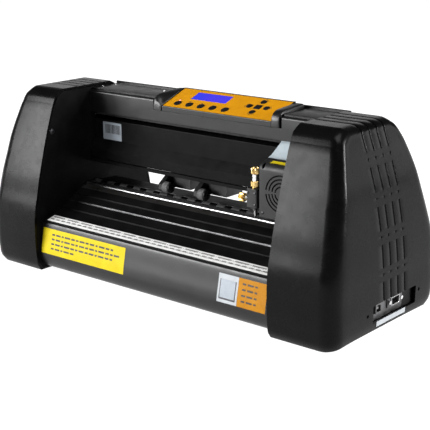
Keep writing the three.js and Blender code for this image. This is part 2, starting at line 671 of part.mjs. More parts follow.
const beltX = [FEED_BELT_X, FEED_BELT_X + BELT_WIDTH];
piece('feed_pulley', cut(
  rodX(SHAFT.y, SHAFT.z, FEED_PULLEY, ...beltX),
  rodX(SHAFT.y, SHAFT.z, SHAFT.end + GAP, SPAN, SPAN + 20),
), 'aluminium');
piece('motor_pulley', rodX(FEED_MOTOR.y, FEED_MOTOR.z, MOTOR_PULLEY, ...beltX), 'aluminium');
piece('feed_belt', alongX(beltLoop([
  [SHAFT.y, SHAFT.z, FEED_PULLEY + GAP],
  [FEED_MOTOR.y, FEED_MOTOR.z, MOTOR_PULLEY + GAP],
], BELT_THICK), ...beltX), 'rubber');
const motorX = FEED_BELT_X + BELT_WIDTH + 3;
piece('feed_motor', box(
  motorX, motorX + MOTOR_LENGTH,
  FEED_MOTOR.y - MOTOR / 2, FEED_MOTOR.y + MOTOR / 2, FEED_MOTOR.z - MOTOR / 2, FEED_MOTOR.z + MOTOR / 2,
), 'plate');

// ---------- pinch wheels ----------
function pinchWheel(left) {
  return cut(
    join(
      rodX(SHAFT.y, WHEEL.z, WHEEL.radius, left, left + WHEEL.width - 2.5),
      rodX(SHAFT.y, WHEEL.z, 4.6, left, left + WHEEL.width),
    ),
    rodX(SHAFT.y, WHEEL.z, WHEEL.pin + GAP, left - 1, left + WHEEL.width - 2),
  );
}

function pinchArm(left) {
  const blade = alongX(outline([
    [-4.5, WHEEL.z - 3], [4, WHEEL.z - 4.5], [14, WHEEL.z - 0.5], [LIFT.y + 5, LIFT.z - 5],
    [LIFT.y + 5, LIFT.z + 5], [10, LIFT.z + 3], [-4.5, WHEEL.z + 4],
  ]), left - 7, left - GAP);
  const block = box(
    left + ARM_BLOCK.left, left + ARM_BLOCK.right,
    ARM_BLOCK.front, ARM_BLOCK.rear, ARM_BLOCK.bottom, ARM_BLOCK.top,
  );
  const pin = rodX(SHAFT.y, WHEEL.z, WHEEL.pin, left - 1, left + WHEEL.width - 2.6);
  const bore = rodX(LIFT.y, LIFT.z, LIFT.radius + GAP, left - 10, left + ARM_BLOCK.right + 1);
  return cut(join(blade, block, pin), bore);
}
['left', 'right'].forEach((side, i) => {
  piece(`pinch_wheel_${side}`, pinchWheel(WHEEL_LEFTS[i]), 'rubber');
  piece(`pinch_arm_${side}`, pinchArm(WHEEL_LEFTS[i]), 'shell');
});
piece('pinch_shaft', rodX(LIFT.y, LIFT.z, LIFT.radius, -SPAN + 2, SPAN - 2), 'steel');

function pinchLever() {
  const { x0, x1 } = LEVER;
  const tip = [LIFT.y + LEVER.reach, LIFT.z + LEVER.rise];
  const bar = alongX(outline([
    [LIFT.y, LIFT.z - LEVER.half], [tip[0], tip[1] - LEVER.half],
    [tip[0], tip[1] + LEVER.half], [LIFT.y, LIFT.z + LEVER.half],
  ]), x0, x1);
  const knob = rodX(...tip, LEVER.knob, x0 - 4, x1 + 4);
  const hub = rodX(LIFT.y, LIFT.z, LEVER.hub, x0, x1);
  return cut(join(bar, knob, hub), rodX(LIFT.y, LIFT.z, LIFT.radius + GAP, x0 - 1, x1 + 1));
}
piece('pinch_lever', pinchLever(), 'shell');

// ---------- electronics ----------
// A socket body with an open mouth on its outer side
function socket(x0, x1, spec, depth) {
  const block = box(
    x0, x1,
    spec.y - spec.width / 2, spec.y + spec.width / 2, spec.z - spec.height / 2, spec.z + spec.height / 2,
  );
  const outward = x1 > 0 ? [x1 - depth, x1 + 1] : [x0 - 1, x0 + depth];
  const mouth = box(
    ...outward,
    spec.y - spec.mouthWidth / 2, spec.y + spec.mouthWidth / 2,
    spec.z - spec.mouthHeight / 2, spec.z + spec.mouthHeight / 2,
  );
  return cut(block, mouth);
}
piece('usb_socket', socket(SOCKET_REAR, PORT_FACE, USB, 9), 'steel');
piece('serial_socket', socket(SOCKET_REAR, PORT_FACE, SERIAL, 7), 'steel');

function portPlate() {
  const blank = box(
    PORTS.plate - PORT_PLATE, PORTS.plate,
    PORTS.front - 3, PORTS.rear + 3, PORTS.bottom - 0.6, PORTS.top + 3,
  );
  const hole = (spec) => box(
    SOCKET_REAR, OUTSIDE,
    spec.y - spec.width / 2 - GAP, spec.y + spec.width / 2 + GAP,
    spec.z - spec.height / 2 - GAP, spec.z + spec.height / 2 + GAP,
  );
  const half = SLOT.width / 2;
  const slot = box(SOCKET_REAR, OUTSIDE, SLOT.y - half, SLOT.y + half, SLOT.bottom, SLOT.top);
  return cut(blank, hole(USB), hole(SERIAL), slot);
}
piece('port_plate', portPlate(), 'steel');

piece('control_board', join(
  box(200, 268, -50, 70, BOARD_TOP - 1.6, BOARD_TOP),
  box(212, 236, -20, 4, BOARD_TOP - 0.5, BOARD_TOP + 3),
  box(208, 222, 30, 52, BOARD_TOP - 0.5, BOARD_TOP + 12),
), 'board');
piece('power_supply', box(-258, -206, -72, 22, 14, 50), 'steel');
piece('power_inlet', socket(-277.9, -SOCKET_REAR, INLET, 17), 'shell');
piece('power_switch', alongY(outline([
  [-278, SWITCH.z - SWITCH.height / 2],
  [-276.6, SWITCH.z],
  [-275.4, SWITCH.z + SWITCH.height / 2],
  [-269, SWITCH.z + SWITCH.height / 2],
  [-269, SWITCH.z - SWITCH.height / 2],
]), SWITCH.y - SWITCH.width / 2, SWITCH.y + SWITCH.width / 2), 'rubber');

export default group;
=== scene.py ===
import itertools
import math

import bmesh
import bpy
import numpy as np
from mathutils import Matrix, Vector

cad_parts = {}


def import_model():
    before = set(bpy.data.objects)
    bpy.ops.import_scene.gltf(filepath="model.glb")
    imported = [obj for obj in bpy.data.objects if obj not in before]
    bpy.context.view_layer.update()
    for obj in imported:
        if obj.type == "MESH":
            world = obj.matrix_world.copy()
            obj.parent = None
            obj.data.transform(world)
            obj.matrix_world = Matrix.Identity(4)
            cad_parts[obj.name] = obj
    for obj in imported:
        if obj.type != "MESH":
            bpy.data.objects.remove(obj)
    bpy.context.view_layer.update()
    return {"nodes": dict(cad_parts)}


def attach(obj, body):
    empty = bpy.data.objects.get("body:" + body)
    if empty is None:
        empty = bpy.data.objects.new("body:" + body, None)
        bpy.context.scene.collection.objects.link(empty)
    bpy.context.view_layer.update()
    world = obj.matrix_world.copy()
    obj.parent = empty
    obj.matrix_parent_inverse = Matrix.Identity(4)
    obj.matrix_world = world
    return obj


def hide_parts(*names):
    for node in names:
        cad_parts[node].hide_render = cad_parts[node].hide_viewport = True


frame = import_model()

# ---------- sizes of the machine, in millimetres ----------
MM = 0.001
SPAN = 190.0  # half the clear width between the end covers
INNER = 189.85  # half the length of the pieces between them

# End covers: height, front edge, rear edge and outer side of each level
COVER_LEVELS = np.array([
    [2, -103, 97, 275.5],
    [8, -107.5, 105, 277],
    [20, -109.5, 109.5, 277.8],
    [55, -110.8, 109.7, 277.6],
    [82, -109, 109, 277.5],
    [103, -104, 104, 276.5],
    [125, -99, 96.5, 274.5],
    [150, -92, 88, 271.5],
    [175, -84.5, 78.5, 268],
    [200, -76, 68, 262],
    [219, -68.5, 57.5, 257],
    [231, -61, 46, 253.5],
    [236, -51, 35, 252],
])
COVER_LOW = 2.0
COVER_HIGH = 236.0
COVER_HALF_DEPTH = 111.0
COVER_WALL = 3.0
EDGE_LOW = 20.0  # outer edge rounding over the lower part
EDGE_HIGH = 15.0  # outer edge rounding at the top
EDGE_BEND = 150.0
TOP_SHARE = 0.7
BOTTOM_SHARE = 0.27
EDGE_TURNS = 8
SIDE_ROWS = 48  # rows of the grooved side, before those at the groove ends
PLAIN_ROWS = 30
LEAST_STEP = 0.15

GROOVE_PLACES = [-24.5, -9.7, 5.1, 19.9]  # on the top, from the centre
GROOVE_LEAN = 0.0725
GROOVE_END = 1.3  # half width of a groove, which is also its end radius
# Distance from the middle of a groove, and depth there
GROOVE_SHAPE = [(0, 1.2), (0.85, 1.2), (1.1, 0.95), (1.3, 0.5), (1.5, 0.12), (1.9, 0)]
GROOVE_RUNS = [(207, 260)]  # lower and upper end of each groove
for step in range(4):
    GROOVE_RUNS += [(197.5 - 43 * step, 200.5 - 43 * step), (163 - 43 * step, 190.5 - 43 * step)]

PANEL_LEFT = -58.6
PANEL_FRONT = -2.6
PANEL_HEIGHT = 221.25
PANEL_SLOPE = math.radians(20.3)
PANEL_WIDTH = 172.3
PANEL_LENGTH = 46.7
KEY_COLUMNS = [0.1, 0.21, 0.32, 0.43, 0.545]
KEY_ROW = 0.217
KEY_RADIUS = 5.0
PAD_CENTRE = (0.775 * PANEL_WIDTH, 0.55 * PANEL_LENGTH)
PAD_REACH = (13.0, 12.4)
PAD_RADIUS = 4.0
PAD_SIDES = {"up": (0, 1), "down": (0, -1), "left": (-1, 0), "right": (1, 0)}
LCD = (0.16 * PANEL_WIDTH, 0.487 * PANEL_WIDTH, 0.51 * PANEL_LENGTH, 0.89 * PANEL_LENGTH)

CASE = {"left": 125.0, "right": 187.0, "front": -40.0, "rear": -11.5, "bottom": 116.0, "wall": 1.8}
LOUVRE = (156.0, 147.0)
TOOL = (110.0, -28.0)
TOOL_SCREW_HEIGHT = 131.5
WHEEL_LEFTS = {"left": -60.0, "right": 0.0}
WHEEL_HEIGHT = 114.7
APRON = [
    (-64, 3), (-80, 3.5), (-91, 5.5), (-99, 11), (-103, 22),
    (-102.5, 33), (-99.5, 48), (-96.2, 64.5), (-94.5, 65.8),
]


# ---------- places: a section point (u, v) and a distance w, as (x, y, z) ----------
def along_x(u, v, w):
    return (w, u, v)


def along_y(u, v, w):
    return (u, w, v)


def along_z(u, v, w):
    return (u, v, w)


def on_panel(u, v, w):
    """u runs along the console, v up its slope and w out of it"""
    rise, run = math.sin(PANEL_SLOPE), math.cos(PANEL_SLOPE)
    return (PANEL_LEFT + u, PANEL_FRONT + v * run - w * rise, PANEL_HEIGHT + v * rise + w * run)


# ---------- outlines ----------
def rectangle(u0, u1, v0, v1):
    return [(u0, v0), (u1, v0), (u1, v1), (u0, v1)]


def ellipse(centre, half_u, half_v, steps=24):
    turns = [2 * math.pi * i / steps for i in range(steps)]
    return [(centre[0] + half_u * math.cos(t), centre[1] + half_v * math.sin(t)) for t in turns]


def circle(centre, radius, steps=32):
    return ellipse(centre, radius, radius, steps)


def rounded(u0, u1, v0, v1, radius, steps=5):
    corners = [
        (u1 - radius, v0 + radius, -90),
        (u1 - radius, v1 - radius, 0),
        (u0 + radius, v1 - radius, 90),
        (u0 + radius, v0 + radius, 180),
    ]
    points = []
    for u, v, start in corners:
        for i in range(steps + 1):
            turn = math.radians(start + 90 * i / steps)
            points.append((u + radius * math.cos(turn), v + radius * math.sin(turn)))
    return points


def centred(u, v, half_u, half_v, radius=0.0):
    """A rectangle round a middle, with rounded corners where a radius is given"""
    sides = (u - half_u, u + half_u, v - half_v, v + half_v)
    return rounded(*sides, radius) if radius else rectangle(*sides)


def arc(centre, radius, start, end, steps):
    """Points of an arc between two angles in degrees"""
    turns = [math.radians(start + (end - start) * i / steps) for i in range(steps + 1)]
    return [(centre[0] + radius * math.cos(t), centre[1] + radius * math.sin(t)) for t in turns]


def arc_band(centre, radius, start, end, width, steps=10):
    outer = arc(centre, radius + width, start, end, steps)
    return outer + arc(centre, radius, start, end, steps)[::-1]


def grown(points, distance):
    """A closed outline whose points move outwards from its middle"""
    middle = np.mean(points, axis=0)
    return [tuple(np.array(p) + np.sign(np.array(p) - middle) * distance) for p in points]


def flowing(points, per):
    """A smooth line through the points, with so many steps between two of them"""
    line = np.array(points, float)
    padded = np.vstack([2 * line[0] - line[1], line, 2 * line[-1] - line[-2]])
    made = []
    for i in range(1, len(padded) - 2):
        a, b, c, d = padded[i - 1:i + 3]
        for t in np.arange(per) / per:
            made.append(0.5 * (
                2 * b + (c - a) * t + (2 * a - 5 * b + 4 * c - d) * t ** 2
                + (3 * b - a - 3 * c + d) * t ** 3
            ))
    return [tuple(p) for p in made] + [tuple(line[-1])]


def offset(points, distance):
    """The line moved sideways, to its right"""
    line = np.array(points, float)
    heading = np.gradient(line, axis=0)
    heading /= np.linalg.norm(heading, axis=1)[:, None]
    return [(p[0] + h[1] * distance, p[1] - h[0] * distance) for p, h in zip(line, heading)]


def ribbon(points, thick, lift=0.0):
    """Closed outline of a sheet under a line"""
    return offset(points, -lift) + offset(points, thick - lift)[::-1]


# ---------- forms: a list of points and a list of faces ----------
def joined(*forms):
    points, faces = [], []
    for form_points, form_faces in forms:
        start = len(points)
        points.extend(form_points)
        faces.extend([start + i for i in face] for face in form_faces)
    return points, faces


def prism(outline, low, high, place):
    count = len(outline)
    points = [place(u, v, w) for w in (low, high) for u, v in outline]
    faces = [[i, (i + 1) % count, count + (i + 1) % count, count + i] for i in range(count)]
    return points, faces + [list(range(count))[::-1], list(range(count, 2 * count))]


def lofted(rings):
    """A closed form through rings of equal length"""
    count = len(rings[0])
    points = [tuple(point) for ring in rings for point in ring]
    faces = []
    for r in range(len(rings) - 1):
        for i in range(count):
            low, nearby = r * count + i, r * count + (i + 1) % count
            faces.append([low, nearby, nearby + count, low + count])
    last = (len(rings) - 1) * count
    return points, faces + [list(range(count))[::-1], list(range(last, last + count))]


def block(x0, x1, y0, y1, z0, z1):
    return prism(rectangle(x0, x1, y0, y1), z0, z1, along_z)


def lathe(profile, centre, place, steps=40, wave=0.0, waves=0):
    """Rings of (radius, height) round a centre; wave gives them flutes"""
    points, faces = [], []
    for ring, (radius, height) in enumerate(profile):
        for i in range(steps):
            turn = 2 * math.pi * i / steps
            reach = radius + wave * (math.cos(waves * turn) - 1) / 2
            points.append(place(
                centre[0] + reach * math.cos(turn), centre[1] + reach * math.sin(turn), height))
        if ring:
            for i in range(steps):
                a, b = (ring - 1) * steps + i, (ring - 1) * steps + (i + 1) % steps
                faces.append([a, b, b + steps, a + steps])
    last = (len(profile) - 1) * steps
    return points, faces + [list(range(steps))[::-1], list(range(last, last + steps))]


def rod(u, v, radius, low, high, place, edge=0.3, steps=32):
    """A round bar with eased ends"""
    profile = [(radius - edge, low), (radius, low + edge), (radius, high - edge), (radius - edge, high)]
    return lathe(profile, (u, v), place, steps)


# Share of the radius, and height over the face
SCREW_CROWN = [(1, 0), (1, 0.35), (0.86, 0.75), (0.45, 1.0), (0.1, 1.05)]
SCREW_WASHER = [(1.5, 0), (1.5, 0.2), (1.4, 0.3), (0.9, 0.3)]
SCREW_RECESS = (0.9, 1.07)


def screw_head(u, v, radius, face, out, place, washer=True):
    """A pan head on a face and the cross that marks its recess; out is +1 or -1"""
    def turned(profile):
        return lathe([(radius * share, face + out * h) for share, h in profile], (u, v), place, 20)

    arm, thin = radius * 0.55, radius * 0.13
    low, high = (face + out * h for h in SCREW_RECESS)
    bars = [prism(centred(u, v, *half), low, high, place) for half in ((arm, thin), (thin, arm))]
    head = turned(SCREW_CROWN)
    if washer:
        head = joined(head, turned(SCREW_WASHER))
    return head, joined(*bars)


# ---------- materials ----------
COAT_ROUGHNESS = 0.12
NOISE_ROUGHNESS = 0.55


def grey(level, blue=None):
    """A neutral colour, whose blue part may differ a little"""
    return (level, level, level if blue is None else blue)


class Look:
    """Builds one node material, with object coordinates in millimetres"""

    def __init__(self, name, roughness=0.5, metallic=0.0, specular=0.5, coat=0.0):
        self.material = bpy.data.materials.new(name)
        self.material.use_nodes = True
        self.nodes = self.material.node_tree.nodes
        self.links = self.material.node_tree.links
        self.shader = self.nodes["Principled BSDF"]
        self.shader.inputs["Metallic"].default_value = metallic
        self.shader.inputs["Specular IOR Level"].default_value = specular
        self.shader.inputs["Roughness"].default_value = roughness
        if coat:
            self.shader.inputs["Coat Weight"].default_value = coat
            self.shader.inputs["Coat Roughness"].default_value = COAT_ROUGHNESS
        self.place = self.nodes.new("ShaderNodeTexCoord").outputs["Object"]

    def mapped(self, stretch=(1, 1, 1)):
        node = self.nodes.new("ShaderNodeMapping")
        node.inputs["Scale"].default_value = [s / MM for s in stretch]
        self.links.new(self.place, node.inputs["Vector"])
        return node.outputs["Vector"]

    def noise(self, size, detail=3.0, stretch=(1, 1, 1)):
        node = self.nodes.new("ShaderNodeTexNoise")
        node.inputs["Scale"].default_value = 1 / size
        node.inputs["Detail"].default_value = detail
        node.inputs["Roughness"].default_value = NOISE_ROUGHNESS
        self.links.new(self.mapped(stretch), node.inputs["Vector"])
        return node.outputs["Fac"]

    def cells(self, size):
        node = self.nodes.new("ShaderNodeTexVoronoi")
        node.feature = "F1"
        node.inputs["Scale"].default_value = 1 / size
        self.links.new(self.mapped(), node.inputs["Vector"])
        return node.outputs["Distance"]

    def stripes(self, pitch, axis):
        node = self.nodes.new("ShaderNodeTexWave")
        node.wave_type = "BANDS"
        node.bands_direction = axis
        node.wave_profile = "SIN"
        # the wave texture repeats every 2 pi / 20 units at scale 1
        node.inputs["Scale"].default_value = 2 * math.pi / (20 * pitch)
        self.links.new(self.mapped(), node.inputs["Vector"])
        return node.outputs["Fac"]

    def combined(self, a, b, operation):
        node = self.nodes.new("ShaderNodeMath")
        node.operation = operation
        for socket, value in zip(node.inputs, (a, b)):
            if isinstance(value, (int, float)):
                socket.default_value = value
            else:
                self.links.new(value, socket)
        return node.outputs["Value"]

    def ranged(self, value, low, high, start=0.3, end=0.7):
        node = self.nodes.new("ShaderNodeMapRange")
        node.inputs["From Min"].default_value = start
        node.inputs["From Max"].default_value = end
        node.inputs["To Min"].default_value = low
        node.inputs["To Max"].default_value = high
        self.links.new(value, node.inputs["Value"])
        return node.outputs["Result"]

    def mixed(self, share, dark, light):
        node = self.nodes.new("ShaderNodeMix")
        node.data_type = "RGBA"
        # sockets 6 and 7 are the two colours, and output 2 is their mix
        self.links.new(share, node.inputs[0])
        for socket, colour in ((node.inputs[6], dark), (node.inputs[7], light)):
            if isinstance(colour, tuple):
                socket.default_value = (*colour, 1)
            else:
                self.links.new(colour, socket)
        return node.outputs[2]

    def colour(self, output):
        self.links.new(output, self.shader.inputs["Base Color"])

    def roughness(self, output):
        self.links.new(output, self.shader.inputs["Roughness"])

    def bump(self, height, depth):
        """depth in millimetres"""
        node = self.nodes.new("ShaderNodeBump")
        node.inputs["Strength"].default_value = 1.0
        node.inputs["Distance"].default_value = depth * MM
        self.links.new(height, node.inputs["Height"])
        before = self.shader.inputs["Normal"].links
        if before:
            self.links.new(before[0].from_socket, node.inputs["Normal"])
        self.links.new(node.outputs["Normal"], self.shader.inputs["Normal"])


def moulded(name, dark, light, rough, grain, depth, specular):
    """Moulded plastic: fine erosion texture, slow drift of shade and gloss"""
    look = Look(name, specular=specular)
    drift = look.noise(38, 2)
    fine = look.noise(grain, 4)
    share = look.combined(drift, fine, "ADD")
    look.colour(look.mixed(look.ranged(share, 0, 1, 0.75, 1.25), dark, light))
    look.roughness(look.ranged(look.noise(16, 5), rough[0], rough[1]))
    look.bump(look.noise(grain, 2), depth)
    look.bump(look.noise(grain * 9, 2), depth * 0.5)
    return look.material


def metal(name, dark, light, rough, stretch, size=0.35, depth=0.004, metallic=1.0, specular=0.5):
    """Rolled, drawn or turned metal, with its lines along the stretched axis"""
    look = Look(name, metallic=metallic, specular=specular)
    lines = look.noise(size, 4, stretch)
    stains = look.noise(22, 3)
    look.colour(look.mixed(look.ranged(look.combined(lines, stains, "ADD"), 0, 1, 0.75, 1.25), dark, light))
    look.roughness(look.ranged(look.combined(lines, look.noise(7, 3), "ADD"), rough[0], rough[1], 0.7, 1.3))
    look.bump(lines, depth)
    return look.material


def rubbery(name, dark, light):
    look = Look(name, specular=0.35)
    dust = look.noise(3.5, 6)
    look.colour(look.mixed(look.ranged(dust, 0, 1, 0.4, 0.75), dark, light))
    look.roughness(look.ranged(look.noise(1.2, 3), 0.62, 0.9))
    look.bump(look.cells(0.5), 0.03)
    return look.material


def printed(name, dark, light, rough=(0.42, 0.58), specular=0.3):
    """Label stock or printed film: even colour, soft fibres and small marks"""
    look = Look(name, specular=specular)
    share = look.combined(look.noise(0.7, 4), look.noise(14, 3), "ADD")
    look.colour(look.mixed(look.ranged(share, 0, 1, 0.75, 1.25), dark, light))
    look.roughness(look.ranged(look.noise(5, 4), *rough))
    look.bump(look.noise(0.45, 3), 0.006)
    return look.material


def grit(name):
    """Rolled steel with bands of grit along the shaft"""
    look = Look(name, metallic=1.0)
    bands = look.ranged(look.stripes(24, "X"), 0, 1, 0.42, 0.5)
    speckle = look.cells(0.45)
    plain = look.mixed(look.noise(0.3, 3, (0.1, 1, 1)), grey(0.05, 0.052), grey(0.1, 0.103))
    rough = look.mixed(look.ranged(speckle, 0, 1, 0.1, 0.5), grey(0.02, 0.021), grey(0.07, 0.072))
    look.colour(look.mixed(bands, plain, rough))
    look.roughness(look.ranged(bands, 0.22, 0.7, 0, 1))
    look.bump(look.combined(bands, speckle, "MULTIPLY"), 0.12)
    return look.material


def display_glass(name):
    """Lit liquid crystal cells behind a clear window"""
    look = Look(name, specular=0.12)
    columns = look.ranged(look.stripes(0.55, "X"), 0.4, 1, 0.1, 0.5)
    rows = look.ranged(look.stripes(0.6, "Y"), 0.4, 1, 0.1, 0.5)
    base = look.mixed(look.ranged(look.noise(30, 1), 0, 1), (0.03, 0.07, 0.95), (0.13, 0.05, 0.98))
    lit = look.mixed(look.combined(columns, rows, "MULTIPLY"), (0.02, 0.03, 0.7), base)
    look.colour(look.mixed(look.noise(8, 2), (0.002, 0.003, 0.03), (0.004, 0.006, 0.05)))
    look.links.new(lit, look.shader.inputs["Emission Color"])
    look.shader.inputs["Emission Strength"].default_value = 0.9
    look.roughness(look.ranged(look.noise(9, 3), 0.25, 0.35))
    return look.material


def circuit(name):
    """Solder resist over copper tracks"""
    look = Look(name, specular=0.5, coat=0.3)
    crossing = look.combined(look.stripes(2.2, "X"), look.stripes(3.1, "Y"), "MULTIPLY")
    tracks = look.ranged(crossing, 0, 1, 0.45, 0.55)
    patches = look.mixed(look.noise(6, 4), (0.012, 0.07, 0.025), (0.02, 0.11, 0.04))
    look.colour(look.mixed(tracks, patches, (0.05, 0.2, 0.07)))
    look.roughness(look.ranged(look.noise(4, 3), 0.3, 0.5))
    look.bump(tracks, 0.03)
    return look.material


def lamp(name):
    """A small red signal light"""
    look = Look(name, specular=0.5)
    lit = look.mixed(look.noise(0.8, 2), (0.9, 0.1, 0.08), (1.0, 0.45, 0.35))
    look.colour(lit)
    look.links.new(lit, look.shader.inputs["Emission Color"])
    look.shader.inputs["Emission Strength"].default_value = 0.6
    look.roughness(look.ranged(look.noise(2, 2), 0.2, 0.35))
    return look.material


# Stretch of the lines of a metal: along x, y or z, or in no direction
ALONG = (0.02, 1, 1)
ACROSS = (1, 0.02, 1)
UPRIGHT = (1, 1, 0.02)
EVEN = (1, 1, 1)
LOOKS = {
    "shell": moulded(
        "shell_plastic", grey(0.0015, 0.0016), grey(0.003, 0.0031), (0.22, 0.31), 0.55, 0.0015, 0.08),
    "fascia": moulded(
        "fascia_plastic", grey(0.003, 0.0032), grey(0.006, 0.0062), (0.3, 0.4), 0.6, 0.006, 0.3),
    "case": moulded("case_plastic", grey(0.004, 0.0045), grey(0.011, 0.0115), (0.42, 0.6), 1.1, 0.05, 0.3),
    "arm": moulded("arm_plastic", grey(0.006, 0.0065), grey(0.014, 0.0145), (0.3, 0.5), 0.8, 0.03, 0.35),
    "key": moulded("key_plastic", grey(0.003, 0.0035), grey(0.007, 0.0075), (0.4, 0.55), 0.7, 0.012, 0.12),
    # Near-black, rough plastic that paints the shade of hollows: screw recesses, behind the louvre, inside
    # sockets, the dark part of the port recess
    "painted_shade": moulded("painted_shade_plastic", grey(0.002), grey(0.005), (0.6, 0.8), 1.0, 0.02, 0.2),
    "plate": metal(
        "painted_steel", grey(0.002, 0.0022), grey(0.005, 0.0052), (0.38, 0.55), EVEN, 0.9, 0.012,
        metallic=0.0, specular=0.04),
    "rubber": rubbery("black_rubber", grey(0.012), grey(0.035, 0.034)),
    "roller": rubbery("roller_rubber", grey(0.05), grey(0.1)),
    "anodised": metal(
        "black_anodised", grey(0.002, 0.0022), grey(0.005, 0.0052), (0.3, 0.46), ALONG, 0.35, 0.006,
        metallic=0.0, specular=0.05),
    "rib": metal("rubbed_aluminium", grey(0.05, 0.052), grey(0.12, 0.123), (0.25, 0.4), ALONG),
    "kerb": metal("worn_aluminium", grey(0.16, 0.165), grey(0.3, 0.305), (0.3, 0.45), ALONG),
    "port": metal("dull_steel", grey(0.09, 0.093), grey(0.17, 0.174), (0.34, 0.5), EVEN),
    "satin": metal("satin_aluminium", (0.5, 0.51, 0.53), (0.66, 0.67, 0.69), (0.3, 0.45), EVEN),
    "steel": metal("drawn_steel", (0.46, 0.47, 0.49), (0.66, 0.67, 0.69), (0.2, 0.36), ALONG),
    "folded": metal("folded_steel", (0.4, 0.41, 0.42), (0.58, 0.59, 0.6), (0.34, 0.5), ACROSS),
    "nickel": metal("nickel_plate", grey(0.6, 0.61), grey(0.8, 0.81), (0.12, 0.26), EVEN, 0.6, 0.002),
    "brass": metal("turned_brass", (0.62, 0.40, 0.13), (0.83, 0.60, 0.25), (0.18, 0.34), UPRIGHT),
    "dark_steel": metal("blackened_steel", grey(0.03, 0.032), grey(0.08, 0.085), (0.3, 0.5), EVEN),
    "strip": printed("white_strip", grey(0.58, 0.57), grey(0.7, 0.69), (0.4, 0.55)),
    "paper": printed("label_paper", (0.23, 0.26, 0.29), (0.29, 0.32, 0.36)),
    "side_paper": printed("side_label", (0.3, 0.32, 0.34), (0.37, 0.39, 0.41)),
    "yellow": printed("yellow_label", (0.42, 0.33, 0.004), (0.49, 0.39, 0.007), specular=0.1),
    "orange_label": printed("orange_label", (0.31, 0.125, 0.003), (0.38, 0.16, 0.005), specular=0.1),
    "orange": printed("orange_film", (0.42, 0.178, 0.001), (0.49, 0.213, 0.002), (0.5, 0.62), 0.1),
    "ink": printed("black_ink", (0.012, 0.011, 0.01), (0.03, 0.028, 0.026), (0.4, 0.55)),
    "ribbon": printed("ribbon_sheath", (0.28, 0.33, 0.36), (0.37, 0.42, 0.45), (0.35, 0.5)),
    "grit": grit("gritted_shaft"),
    "glass": display_glass("display_cells"),
    "board": circuit("circuit_board"),
    "lamp": lamp("signal_lamp"),
}


# ---------- pieces ----------
def mesh_object(name, form):
    points, faces = form
    mesh = bpy.data.meshes.new(name)
    mesh.from_pydata([[c * MM for c in point] for point in points], [], faces)
    shape = bmesh.new()
    shape.from_mesh(mesh)
    bmesh.ops.remove_doubles(shape, verts=shape.verts, dist=1e-6)
    bmesh.ops.recalc_face_normals(shape, faces=shape.faces)
    shape.to_mesh(mesh)
    shape.free()
    return in_scene(name, mesh)


def in_scene(name, data):
    obj = bpy.data.objects.new(name, data)
    bpy.context.scene.collection.objects.link(obj)
    return obj


def carve(obj, form):
    """Cuts a form out of an object, for good"""
    tool = mesh_object("tool", form)
    cut = obj.modifiers.new("cut", "BOOLEAN")
    cut.object = tool
    cut.solver = "EXACT"
    graph = bpy.context.evaluated_depsgraph_get()
    made = bpy.data.meshes.new_from_object(obj.evaluated_get(graph))
    obj.modifiers.clear()
    obj.data = made
    bpy.data.objects.remove(tool)


def ease(obj, width, segments=2, angle=35):
    """Rounds the sharp edges by a width in millimetres"""
    bevel = obj.modifiers.new("edges", "BEVEL")
    bevel.width = width * MM
    bevel.segments = segments
    bevel.limit_method = "ANGLE"
    bevel.angle_limit = math.radians(angle)
    bevel.harden_normals = True


def shade(obj, sharp):
    """Smooth shading, but for edges over an angle in degrees"""
    obj.data.shade_smooth()
    obj.data.set_sharp_from_angle(angle=math.radians(sharp))


def piece(name, form, look, body="root", stands_for="", holes=None, edge=0.0, sharp=32):
    """A smooth-shaded mesh that rides on a body and may stand for a CAD node"""
    obj = mesh_object(name, form)
    if holes:
        carve(obj, holes)
    obj.data.materials.clear()
    obj.data.materials.append(LOOKS[look])
    shade(obj, sharp)
    if edge:
        ease(obj, edge)
    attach(obj, body)
    if stands_for:
        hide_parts(stands_for)
    return obj


def finish_node(name, look, edge=0.0):
    """A CAD node keeps its shape and takes a material and eased edges"""
    node = frame["nodes"][name]
    node.data.materials.clear()
    node.data.materials.append(LOOKS[look])
    if edge:
        ease(node, edge)


def screws(name, cross_name, heads, look, body="root"):
    """One piece for the heads, and one for the crosses of their recesses: dark bars that paint the shade
    inside the recesses
    """
    piece(name, joined(*(head for head, cross in heads)), look, body)
    piece(cross_name, joined(*(cross for head, cross in heads)), "painted_shade", body)


# ---------- end covers ----------
LEVEL_SLOPES = np.gradient(COVER_LEVELS[:, 1:], COVER_LEVELS[:, 0], axis=0)


def level_at(z):
    """Front edge, rear edge and outer side at a level, on smooth curves"""
    heights = COVER_LEVELS[:, 0]
    i = int(np.clip(np.searchsorted(heights, z) - 1, 0, len(heights) - 2))
    run = heights[i + 1] - heights[i]
    t = (z - heights[i]) / run
    low, high = COVER_LEVELS[i, 1:], COVER_LEVELS[i + 1, 1:]
    start, end = LEVEL_SLOPES[i] * run, LEVEL_SLOPES[i + 1] * run
    return (
        (2 * t ** 3 - 3 * t ** 2 + 1) * low + (t ** 3 - 2 * t ** 2 + t) * start
        + (3 * t ** 2 - 2 * t ** 3) * high + (t ** 3 - t ** 2) * end
    )


def cover_point(side, level, flank, turn, wall=0.0, inner=None):
    """A point of the cover's skin. flank is 0 at the front and 1 at the rear"""
    front, rear, outer = level_at(level)
    fade = min(max((level - EDGE_BEND) / (COVER_HIGH - EDGE_BEND), 0), 1)
    radius = EDGE_LOW + fade * (EDGE_HIGH - EDGE_LOW)
    bend = radius * (1 - math.cos(turn))
    rise = (level - COVER_LOW) / (COVER_HIGH - COVER_LOW)
    drop = rise * (TOP_SHARE * bend + wall) - (1 - rise) * (BOTTOM_SHARE * bend + wall)
    y = (rear if flank else front) * (1 - (bend + wall) / COVER_HALF_DEPTH)
    x = outer - wall - radius * (1 - math.sin(turn)) if inner is None else inner
    return np.array([side * x, y, level - drop])


